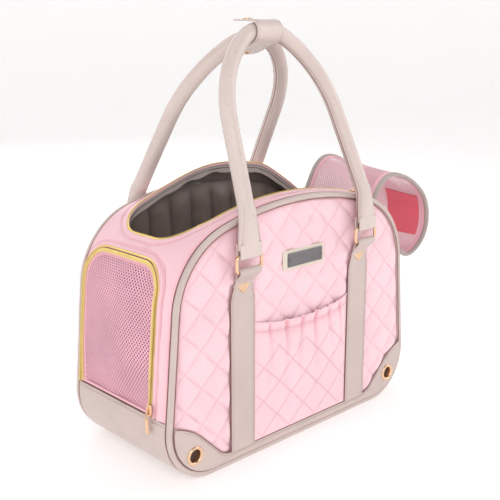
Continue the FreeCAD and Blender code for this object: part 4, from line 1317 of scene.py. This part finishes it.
def pull_tag(name, top, down, across, out, material, body):
    """A zip pull: a small link through the slider's eye and a long flat tag with a raised border."""
    top, down, across, out = (np.array(v, float) for v in (top, down, across, out))
    link = rounded_loop(2.3, 3.0, 1.6)
    path = top + down * 2.2 + link[:, :1] * across + link[:, 1:] * down
    wire = sweep_mesh(path, ellipse(8), 0.65, 0.65, True, out)
    made = plate(name + "_tag", top + down * 13.2, (across, down, out), 2.8, 9.0, 1.4,
                 ((0.3, -0.6), (0, -0.4), (0, 0.4), (0.3, 0.6), (0.9, 0.6), (1.1, 0.35)), material, body,
                 "rose_gold", None)
    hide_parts(name)
    joined(name + "_link", [wire], material, body, slot="rose_gold")


def slider(name, centre, along, across, out, body):
    """A zip slider: waisted body, flared nose and an arched bridge for the pull."""
    along, across, out = (np.array(v, float) for v in (along, across, out))
    made = plate(name + "_body", centre, (across, along, out), 4.3, 6.2, 2.2,
                 ((0.6, -0.9), (0, -0.4), (0, 0.7), (0.5, 1.1), (1.3, 1.3)), ROSE, body, "rose_gold", name)
    bend = np.linspace(0, math.pi, 12)
    arch = (np.array(centre, float) + np.cos(bend)[:, None] * along * 3.6 + (1.0 + np.sin(bend) * 1.7)[:, None] * out)
    sweep(name + "_bridge", arch, rounded_bar(0.5), 1.3, 0.45, ROSE, body, up=across, slot="rose_gold")
    return made


def build_zips():
    zip_half("door_zip_frame", lambda grow: door_path(grow, BAND_TOP + 1), 0.5, 4.2, 1.25, "bag", 1.0)
    zip_half("door_zip", lambda grow: door_path(grow, BAND_TOP + 2), -1.0, -4.4, -1.75, "door", 1.0)
    zip_half("rim_zip", opening_path, 0.3, 3.9, 0.4, "bag", 1.1)


# ---------------------------------------------------------------- rings and handles

def build_rings(name, side, body):
    for sign in (-1, 1):
        loop = rounded_loop(RING_HALF, (RING_HIGH - RING_LOW) / 2, 4.5, 8)
        middle = (RING_HIGH + RING_LOW) / 2
        path = on_face(sign * STRAP_X + loop[:, 0], middle + loop[:, 1], np.full(len(loop), side * RING_Y))
        made = sweep(f"{name}_{'left' if sign < 0 else 'right'}", resample(path, 1.2, True), ellipse(16), 2.0, 2.0,
                     ROSE, body, True, (0, side, 0), slot="rose_gold")
        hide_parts(name)


HANDLE = Outline(96.4, 0, 0.1, 212.5, 60, 130)
BEND = 32
TILTS = {-1: 22.0, 1: 27.1}


def handle_line(side):
    """A handle's centre line: up from one ring, over the leaning arch and down to the other ring."""
    tilt = math.radians(TILTS[side])
    foot = HANDLE.starts[1]
    flat, _ = HANDLE.at(np.linspace(foot, HANDLE.total - foot, 90))
    arch = np.stack([flat[:, 0], side * (RING_Y - flat[:, 1] * math.sin(tilt)),
                     RING_HIGH + BEND + flat[:, 1] * math.cos(tilt)], -1)
    legs = [[STRAP_X, side * RING_Y, RING_HIGH + up] for up in (7, 15)]
    whole = smooth_path(np.concatenate([legs, arch[2:-2], [[-x, y, z] for x, y, z in legs[::-1]]]), 2.6)
    if side > 0:
        share = np.sin(np.linspace(0, math.pi, len(whole)))[:, None] ** 2
        whole = whole + share * np.array([8.0, -3.0, 0])
    return whole


def build_handle(name, side):
    """A padded tube handle that flattens to a stitched tab at each ring."""
    body = name
    path = handle_line(side)
    run = np.concatenate([[0], np.cumsum(np.linalg.norm(np.diff(path, axis=0), axis=1))])
    from_end = np.minimum(run, run[-1] - run)
    wide = np.interp(from_end, [0, 6, 16, 28, 42, 58], [15.6, 16.0, 14.6, 11.4, 9.7, 9.1])
    tall = np.interp(from_end, [0, 6, 16, 30, 46, 60], [3.4, 4.6, 6.0, 8.0, 8.8, 9.1])
    mellow = np.ones(9) / 9
    wide = np.convolve(np.pad(wide, 4, "edge"), mellow, "valid")
    tall = np.convolve(np.pad(tall, 4, "edge"), mellow, "valid")
    ripple = 1 + 0.012 * wave(path, 30, 61 + side)
    made = sweep(name + "_tube", path, ellipse(28), wide * ripple, tall * ripple, HANDLE_SKIN, body,
                 up=(0, side, 0), slot="trim_beige")
    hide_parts(name)
    _, sides, ups = frames_along(path, False, (0, side, 0))
    centre = np.array([0, path[:, 1].mean(), 330])
    toward = centre - path
    flip = np.sign((sides * toward).sum(axis=1))[:, None]
    seam = path + sides * flip * (wide[:, None] + 0.05)
    sweep(name + "_seam", seam, ellipse(8), 0.5, 0.5, EDGE, body, up=(0, side, 0), slot="trim_beige")
    rows = []
    for shift in (-1, 1):
        angle = math.radians(24)
        out = sides * flip * math.cos(angle) * wide[:, None] + ups * shift * math.sin(angle) * tall[:, None]
        normal = sides * flip * math.cos(angle) + ups * shift * math.sin(angle)
        rows.append((path + out * 1.01, normal))
    for end in (slice(0, 18), slice(len(path) - 18, len(path))):
        for edge in (-1, 1):
            out = sides[end] * edge * wide[end][:, None] * 0.8 + ups[end] * tall[end][:, None] * 0.62
            rows.append((path[end] + out, ups[end]))
    stitches(name + "_stitches", rows, THREAD_BEIGE, body, pitch=3.6, slot="trim_beige")
    tabs = []
    for sign in (-1, 1):
        turn = np.linspace(0, -180, 13) * math.pi / 180
        reach = 3.2
        shape = [(reach, 13.0), (reach, 7.0)] + [(reach * math.cos(a), reach * math.sin(a)) for a in turn]
        shape += [(-reach, 7.0), (-reach, 13.0)]
        line = smooth_path([(sign * STRAP_X, side * (RING_Y + y), RING_HIGH + z) for y, z in shape], 1.2)
        tabs.append(sweep_mesh(line, rounded_bar(0.4), 15.2, 1.05, up=np.cross(np.gradient(line, axis=0), [1, 0, 0])))
    made = joined(name + "_loops", tabs, HANDLE_SKIN, body, slot="trim_beige")
    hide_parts(name + "_tabs")
    core = path[from_end > 34]
    made = sweep(name + "_cord", core, ellipse(16), 5.6, 5.6, CORD, body, up=(0, side, 0), slot="trim_beige")
    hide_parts(name + "_core")


def build_keeper():
    """Snap wrap round the front handle's top, open at the back, with its two gold snap halves."""
    centre = np.array([-21.1, 470.0])
    radius = 12.45
    turns = np.radians(np.linspace(90, 250.6, 26))
    loop = [(centre[0] + radius * math.cos(a), centre[1] + radius * math.sin(a)) for a in turns]
    slope = math.radians(-19.4)
    upper = [(y, centre[1] + radius) for y in np.linspace(12, centre[0], 9)[:-1]]
    leave = loop[-1]
    lower = [(leave[0] + d * math.cos(slope), leave[1] + d * math.sin(slope)) for d in np.linspace(0, 41, 10)[1:]]
    line = np.array(upper + loop + lower)
    path = resample(np.stack([np.zeros(len(line)), line[:, 0], line[:, 1]], -1), 1.5)
    run = np.concatenate([[0], np.cumsum(np.linalg.norm(np.diff(path, axis=0), axis=1))])
    from_end = np.minimum(run, run[-1] - run)
    half = 20 - 9 * (1 - np.sqrt(1 - (1 - np.clip(from_end / 9, 0, 1)) ** 2))
    tangents = np.gradient(path, axis=0)
    outward = np.cross(tangents, [1, 0, 0])
    made = sweep("keeper_wrap", path, rounded_bar(0.3), half, 0.8, HANDLE_SKIN, "front_handle", up=outward,
                 slot="trim_beige")
    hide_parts("keeper")
    outward /= np.linalg.norm(outward, axis=1)[:, None]
    rows = []
    for sign in (-1, 1):
        line = path + np.stack([sign * (half - 2.4), 0 * half, 0 * half], -1) + outward * 0.85
        rows.append((line[3:-3], outward[3:-3]))
    stitches("keeper_stitches", rows, THREAD_BEIGE, "front_handle", slot="trim_beige")
    low, high = node_box("keeper_snaps")
    dome = [(0.05, 0), (6.0, 0), (6.0, 0.7), (5.5, 1.3), (4.4, 1.5), (3.9, 1.2), (2.6, 1.7), (0.05, 2.0)]
    cap = lathe("keeper_snap_cap", dome, (0, 5, high[2] - 2), (0, 0, 1), ROSE, "front_handle", 32, "rose_gold")
    down = (0, math.sin(slope), -math.cos(slope))
    at = np.array(lower[-3])
    stud = lathe("keeper_snap_stud", [(r * 0.75, h) for r, h in dome], (0, at[0], at[1] - 0.8), down, ROSE,
                 "front_handle", 32, "rose_gold")
    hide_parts("keeper_snaps")
    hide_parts("keeper_snaps")


# ---------------------------------------------------------------- inside

def build_lining():
    """Grey-brown satin lining: soft vertical folds on the long walls, a skin round the ends and a rim facing."""
    for label, side in (("front", -1), ("back", 1)):
        x, z = face_grid(6.4, 180, 110)
        place = np.stack([x, z], -1)
        border = edge_distance(x, z, 6.4)
        loose = smoothstep(border / 22)
        pleats = np.abs(np.sin((x + 9 * np.sin(z / 60 + side)) * math.pi / 33)) ** 0.7
        depth = 80.2 - loose * (3.2 * pleats * (0.35 + 0.65 * smoothstep(z / 200)) + 0.9 * wave(place, 40, 71))
        # Painted shade in the pleat valleys, carried by the crease_shade attribute.
        crease_shade = np.clip((1 - pleats) ** 2 * 0.8 * loose, 0, 1)
        points = on_face(x, z, side * depth)
        made = sheet(f"lining_{label}", points, face_normal(-side, x.shape), 0.6, LINING, "bag", crease_shade=crease_shade,
                     slot="lining_taupe")
        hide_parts("lining")
    holes = around(opening_path(1.5), footed(door_path(0.6)), window_path(1))

    def rise(s, y):
        place = np.stack([s, y], -1)
        calm = smoothstep(holes(s, y) / 14)
        return -5.0 - calm * (1.1 + 0.9 * wave(place, 45, 72))

    patch("lining_ends", (0.5, BAG.total - 0.5), (-79.6, 79.6), 3.4, holes, rise, 0.7, LINING, "bag",
          "lining_taupe")
    path = opening_path(1.0)
    top, normals = skin(path[:, 0], path[:, 1], -0.4)
    towards = np.gradient(path, axis=0)
    across = np.stack([0 * towards[:, 0], np.sign(path[:, 1]) * 1.0, 0 * towards[:, 0]], -1)
    t = np.linspace(0, 1, 8)[None, :, None]
    place = np.stack([path[:, 0], path[:, 1]], -1)
    flutter = wave(place, 26, 73)[:, None, None]
    drop = np.array([0, 0, -1.0])
    length = 11 + 1.6 * wave(place, 40, 74)[:, None, None]
    points = top[:, None] + drop * t * length + across[:, None] * (0.4 + t * (1.4 + 0.9 * flutter))
    made = sheet("rim_facing", points, np.broadcast_to(-across[:, None], points.shape), 0.8, BINDING, "bag",
                 slot="lining_taupe")
    return made


def build_mat():
    """Plush cushion: a rounded pad blown up with the cloth solver, then smoothed."""
    low, high = node_box("mat")
    middle = (low + high) / 2
    half = (high - low) / 2
    cols, rows = 44, 24
    u, v = np.meshgrid(np.linspace(-1, 1, cols), np.linspace(-1, 1, rows))
    shell = []
    for sign in (1, -1):
        lift = sign * (half[2] - 1.6) * (1 - np.abs(u) ** 8) ** 0.5 * (1 - np.abs(v) ** 8) ** 0.5
        shell.append(np.stack([u * (half[0] - 3), v * (half[1] - 3), lift], -1) + middle)
    count = rows * cols
    verts = np.concatenate([part.reshape(-1, 3) for part in shell])
    ring = np.concatenate([np.arange(cols), np.arange(2 * cols - 1, count, cols),
                           np.arange(count - 2, count - cols - 1, -1), np.arange(count - 2 * cols, 0, -cols)])
    remap = np.arange(2 * count)
    remap[ring + count] = ring
    faces = np.concatenate([grid_faces(rows, cols), grid_faces(rows, cols, count, True)])
    faces = remap[faces]
    used = np.unique(faces)
    index = -np.ones(2 * count, int)
    index[used] = np.arange(len(used))
    made = mesh_piece("mat_cushion", verts[used], index[faces], PLUSH, None, slot="mat_plush")
    cloth = made.modifiers.new("pad", "CLOTH")
    cloth.settings.use_pressure = True
    cloth.settings.uniform_pressure_force = 4
    cloth.settings.quality = 6
    cloth.settings.effector_weights.gravity = 0
    cloth.point_cache.frame_start = 1
    cloth.point_cache.frame_end = 20
    group = made.vertex_groups.new(name="seam")
    group.add([int(i) for i in index[ring]], 1.0, "REPLACE")
    cloth.settings.vertex_group_mass = "seam"
    before = np.array([v.co for v in made.data.vertices])
    for number in range(1, 21):
        bpy.context.scene.frame_set(number)
    shaped = made.evaluated_get(bpy.context.evaluated_depsgraph_get())
    after = np.array([v.co for v in shaped.data.vertices])
    made.modifiers.clear()
    bpy.context.scene.frame_set(1)
    move = np.clip(after - before, -6 * MM, 6 * MM)
    limits = np.array([[low[0], low[1], low[2] - 0.4], [high[0], high[1], high[2] + 5]]) * MM
    placed = np.clip(before + move, limits[0], limits[1])
    made.data.vertices.foreach_set("co", placed.astype(np.float32).ravel())
    made.data.update()
    smooth = made.modifiers.new("smooth", "SUBSURF")
    smooth.levels = smooth.render_levels = 1
    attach(made, "mat")
    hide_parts("mat")


# ---------------------------------------------------------------- sliders and pulls

def build_sliders():
    low, high = node_box("door_slider")
    middle = (low + high) / 2
    lean = math.atan(LEAN)
    along = (math.sin(lean), 0, math.cos(lean))
    out = (-math.cos(lean), 0, math.sin(lean))
    across = DOOR_MIDDLE - DOOR_HALF - 1.6
    slider("door_slider", (middle[0] - 0.9, across, middle[2]), along, (0, 1, 0), out, "door_slider")
    pivot = joint_spot("door_pull_flip")
    pull_tag("door_pull", (pivot[0] - 0.9, across, pivot[2] + 3), (0, 0, -1), (0, 1, 0), (-1, 0, 0), ROSE,
             "door_pull")
    low, high = node_box("rim_slider")
    middle = (low + high) / 2
    tilt = math.asin(middle[0] / (CROWN + 2))
    along = (math.cos(tilt), 0, -math.sin(tilt))
    out = (math.sin(tilt), 0, math.cos(tilt))
    slider("rim_slider", (middle[0], -OPEN_HALF - 1.4, middle[2] + 0.3), along, (0, 1, 0), out, "rim_slider")
    pivot = joint_spot("rim_pull_flip")
    start = np.array([pivot[0], -OPEN_HALF - 1.4, pivot[2]]) - np.array(along) * 3 + np.array(out) * 0.8
    pull_tag("rim_pull", start, along, (0, 1, 0), out, ROSE, "rim_pull")


# ---------------------------------------------------------------- folding top cover

FLAP_HALF = node_box("flap_panel_1")[1][1]
RIBS = 1.7


def flap_points():
    """Fold points of the rolled cover, in the xz plane, from the hinge to its free end."""
    folds = [joint_spot(f"flap_fold_{i}")[[0, 2]] for i in range(1, 7)]
    low, high = node_box("flap_panel_6")
    end = np.array([low[0] + 1.0, high[2] - 0.7])
    return np.array(folds + [end])


def settled(points):
    """The rolled cover as it hangs: drawn in towards the bag, its back edge riding up and its front one down."""
    reach = np.hypot(points[..., 0] - HINGE[0], points[..., 2] - HINGE[2])
    share = smoothstep(reach / 80)
    rise = share * smoothstep((points[..., 2] - 190) / 90) * (3 + 7 * points[..., 1] / FLAP_HALF)
    return points + np.stack([-4 * share, 0 * share, rise], -1)


def arc_span(first, control, last, count):
    t = np.linspace(0, 1, count)[:, None]
    return (1 - t) ** 2 * first + 2 * t * (1 - t) * control + t ** 2 * last


def flap_sheet(name, line, low, high, cols, thick, material, shift, slot, shape=None, puff=0.0):
    """A strip of the cover between two widths along a line, which may narrow towards its end; shape sets how far it
    ripples and puff how far it domes across.
    """
    tangents = np.gradient(line, axis=0)
    tangents /= np.linalg.norm(tangents, axis=1)[:, None]
    normal = np.stack([tangents[:, 1], 0 * tangents[:, 0], -tangents[:, 0]], -1)
    share = np.linspace(0, 1, cols)[None, :]
    low, high = (np.broadcast_to(value, (len(line),))[:, None] for value in (low, high))
    y = low + (high - low) * share
    normals = np.broadcast_to(normal[:, None], y.shape + (3,))
    points = np.stack([np.broadcast_to(line[:, :1], y.shape), y, np.broadcast_to(line[:, 1:], y.shape)], -1)
    place = np.stack([points[..., 0], y, points[..., 2]], -1)
    lift = shift + puff * (1 - (2 * share - 1) ** 2) + shape * wave(place, 60, 81, 2) if shape else shift
    run = np.concatenate([[0], np.cumsum(np.linalg.norm(np.diff(line, axis=0), axis=1))])
    uv = np.stack([y, np.broadcast_to(run[:, None], y.shape)], -1)
    lift = np.broadcast_to(lift, y.shape)[..., None]
    return sheet(name, settled(points + normals * (lift + thick / 2)), normals, thick, material, None, uv=uv,
                 slot=slot)


def end_half(run, length):
    """Half width of the cover's last leaf, rounded off at its free corners."""
    corner = 42
    over = np.clip(run - (length - corner), 0, corner)
    return FLAP_HALF - corner + np.sqrt(np.maximum(corner ** 2 - over ** 2, 0))


def build_flap():
    """Mesh top cover, rolled back: net, pink border, ribbed grey binding and a rose patch, span by span."""
    points = flap_points()
    middles = (points[:-1] + points[1:]) / 2
    start = np.array([162.0, 249.4])
    spans = [(start, points[0], middles[0], "bag", "flap_1")]
    for i in range(1, 6):
        spans.append((middles[i - 1], points[i], middles[i], f"flap_{i}", f"flap_{i + 1}"))
    spans.append((middles[5], (middles[5] + points[6]) / 2, points[6], "flap_6", None))
    for index, (first, control, last, body, other) in enumerate(spans):
        count = 26
        line = arc_span(first, control, last, count)
        run = np.concatenate([[0], np.cumsum(np.linalg.norm(np.diff(line, axis=0), axis=1))])
        half = np.full(count, float(FLAP_HALF))
        if other is None:
            half = end_half(run + 24, run[-1] + 24)
        made = [flap_sheet(f"cover_net_{index}", line, -half + 7, half - 7, 46, 0.9, NET_FLAP, 0.0, "mesh_pink",
                           1.2, 0.4)]
        for label, sign in (("front", -1), ("back", 1)):
            inner, outer = (half - 9) * sign, (half - 1.2) * sign
            made.append(flap_sheet(f"cover_border_{label}_{index}", line, np.minimum(inner, outer),
                                   np.maximum(inner, outer), 6, 2.0, TAPE, 0.0, "smooth_pink", 0.01, 0.5))
            path = np.stack([line[:, 0], half * sign, line[:, 1]], -1)
            rib = resample(settled(path), RIBS / 3)
            swell = 3.1 + 0.28 * np.sin(np.arange(len(rib)) * 2 * math.pi / 3)
            verts, faces = sweep_mesh(rib, ellipse(12), swell * 0.8, swell * 1.15, up=(0, 1, 0))
            made.append(mesh_piece(f"cover_binding_{label}_{index}", verts, faces, BINDING, None, 60,
                                   slot="trim_beige"))
        if index in (3, 4):
            reach = slice(10, count) if index == 3 else slice(0, 16)
            part = line[reach]
            made.append(flap_sheet(f"cover_patch_{index}", part, -46.0, 8.0, 20, 1.4, ROSE_CLOTH, 1.3,
                                   "smooth_pink", 0.3, 0.3))
        if other is None:
            edge = np.stack([np.full(40, points[6][0]), np.linspace(-half[-1], half[-1], 40),
                             np.full(40, points[6][1])], -1)
            verts, faces = sweep_mesh(settled(edge), ellipse(12), 2.6, 3.4, up=(0, 0, 1))
            made.append(mesh_piece("cover_binding_end", verts, faces, BINDING, None, 60, slot="trim_beige"))
        for piece in made:
            if other:
                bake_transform(piece)
            else:
                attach(piece, body)
        if index:
            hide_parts(f"flap_panel_{index}")


# ---------------------------------------------------------------- room

def build_room():
    """A pale round sweep, soft lights and the camera."""
    bend = np.linspace(0, QUARTER, 14)
    radius = np.concatenate([np.linspace(0.02, 3.6, 14), 3.6 + 1.2 * np.sin(bend[1:]), [4.8]])
    lift = np.concatenate([np.zeros(14), 1.2 - 1.2 * np.cos(bend[1:]), [4.0]])
    turns = np.linspace(0, 2 * math.pi, 49)[:-1]
    verts = np.stack([radius[:, None] * np.cos(turns), radius[:, None] * np.sin(turns),
                      lift[:, None] + 0 * turns], -1) / MM
    faces = [tuple(f) for f in grid_faces(len(radius), len(turns), wrap_cols=True)] + [tuple(range(len(turns)))]
    white = Maker("paper", 0.85)
    white.colour(linear((246, 245, 245)))
    white.height(white.noise(30, 3), 0.02, 0.3)
    white.shader.inputs["Emission Color"].default_value = (1, 0.99, 0.985, 1)
    white.shader.inputs["Emission Strength"].default_value = 0.3
    floor = mesh_piece("backdrop", verts.reshape(-1, 3), faces, white.material)
    lights = (("key", (-1.3, -1.9, 1.9), 1.3, 17.8), ("fill", (1.9, -1.2, 1.2), 1.6, 8),
              ("top", (0.2, 0.4, 2.4), 1.8, 11), ("end", (-2.2, 0.6, 0.9), 1.2, 4),
              ("back", (1.0, 2.2, 1.4), 1.6, 6))
    for name, place, size, power in lights:
        data = bpy.data.lights.new(name, "AREA")
        data.shape = "DISK"
        data.size = size
        data.energy = power
        lamp = bpy.data.objects.new(name, data)
        lamp.location = place
        lamp.rotation_euler = (Vector((0, 0, 0.2)) - Vector(place)).to_track_quat("-Z", "Y").to_euler()
        bpy.context.collection.objects.link(lamp)
    world = bpy.data.worlds.new("studio")
    world.use_nodes = True
    world.node_tree.nodes["Background"].inputs["Color"].default_value = (1, 0.985, 0.98, 1)
    world.node_tree.nodes["Background"].inputs["Strength"].default_value = 0.25
    bpy.context.scene.world = world
    camera = bpy.data.objects.new("camera", bpy.data.cameras.new("camera"))
    azimuth, elevation, distance = math.radians(-43.69), math.radians(14.38), 1.02
    target = Vector((0, 0, 0.2124))
    level = distance * math.cos(elevation)
    camera.location = target + Vector((level * math.sin(azimuth), -level * math.cos(azimuth),
                                       distance * math.sin(elevation)))
    camera.rotation_euler = (target - camera.location).to_track_quat("-Z", "Y").to_euler()
    camera.data.lens = 60.3
    camera.data.sensor_width = 36
    bpy.context.collection.objects.link(camera)
    bpy.context.scene.camera = camera
    bpy.context.scene.view_settings.view_transform = "Standard"


SMOOTH = satin("smooth pink fabric", (252, 206, 215), (224, 138, 152), 0.38, 0.2, coat=0.15)
HANDLE_SKIN = coated("handle leather", (220, 203, 197), 0.34, 0.12)
ZIP_TAPE = satin("zip tape", (240, 214, 138), (170, 136, 76), 0.6, 0.1, 0.8)
build_shell()
build_band()
net_door()
build_zips()
build_rings("front_rings", -1, "front_rings")
build_rings("back_rings", 1, "back_rings")
build_handle("front_handle", -1)
build_handle("back_handle", 1)
build_keeper()
build_lining()
build_mat()
build_sliders()
build_flap()
for node in ("front_board", "back_board", "base_board"):
    frame["nodes"][node].data.materials[0] = BOARD
build_room()
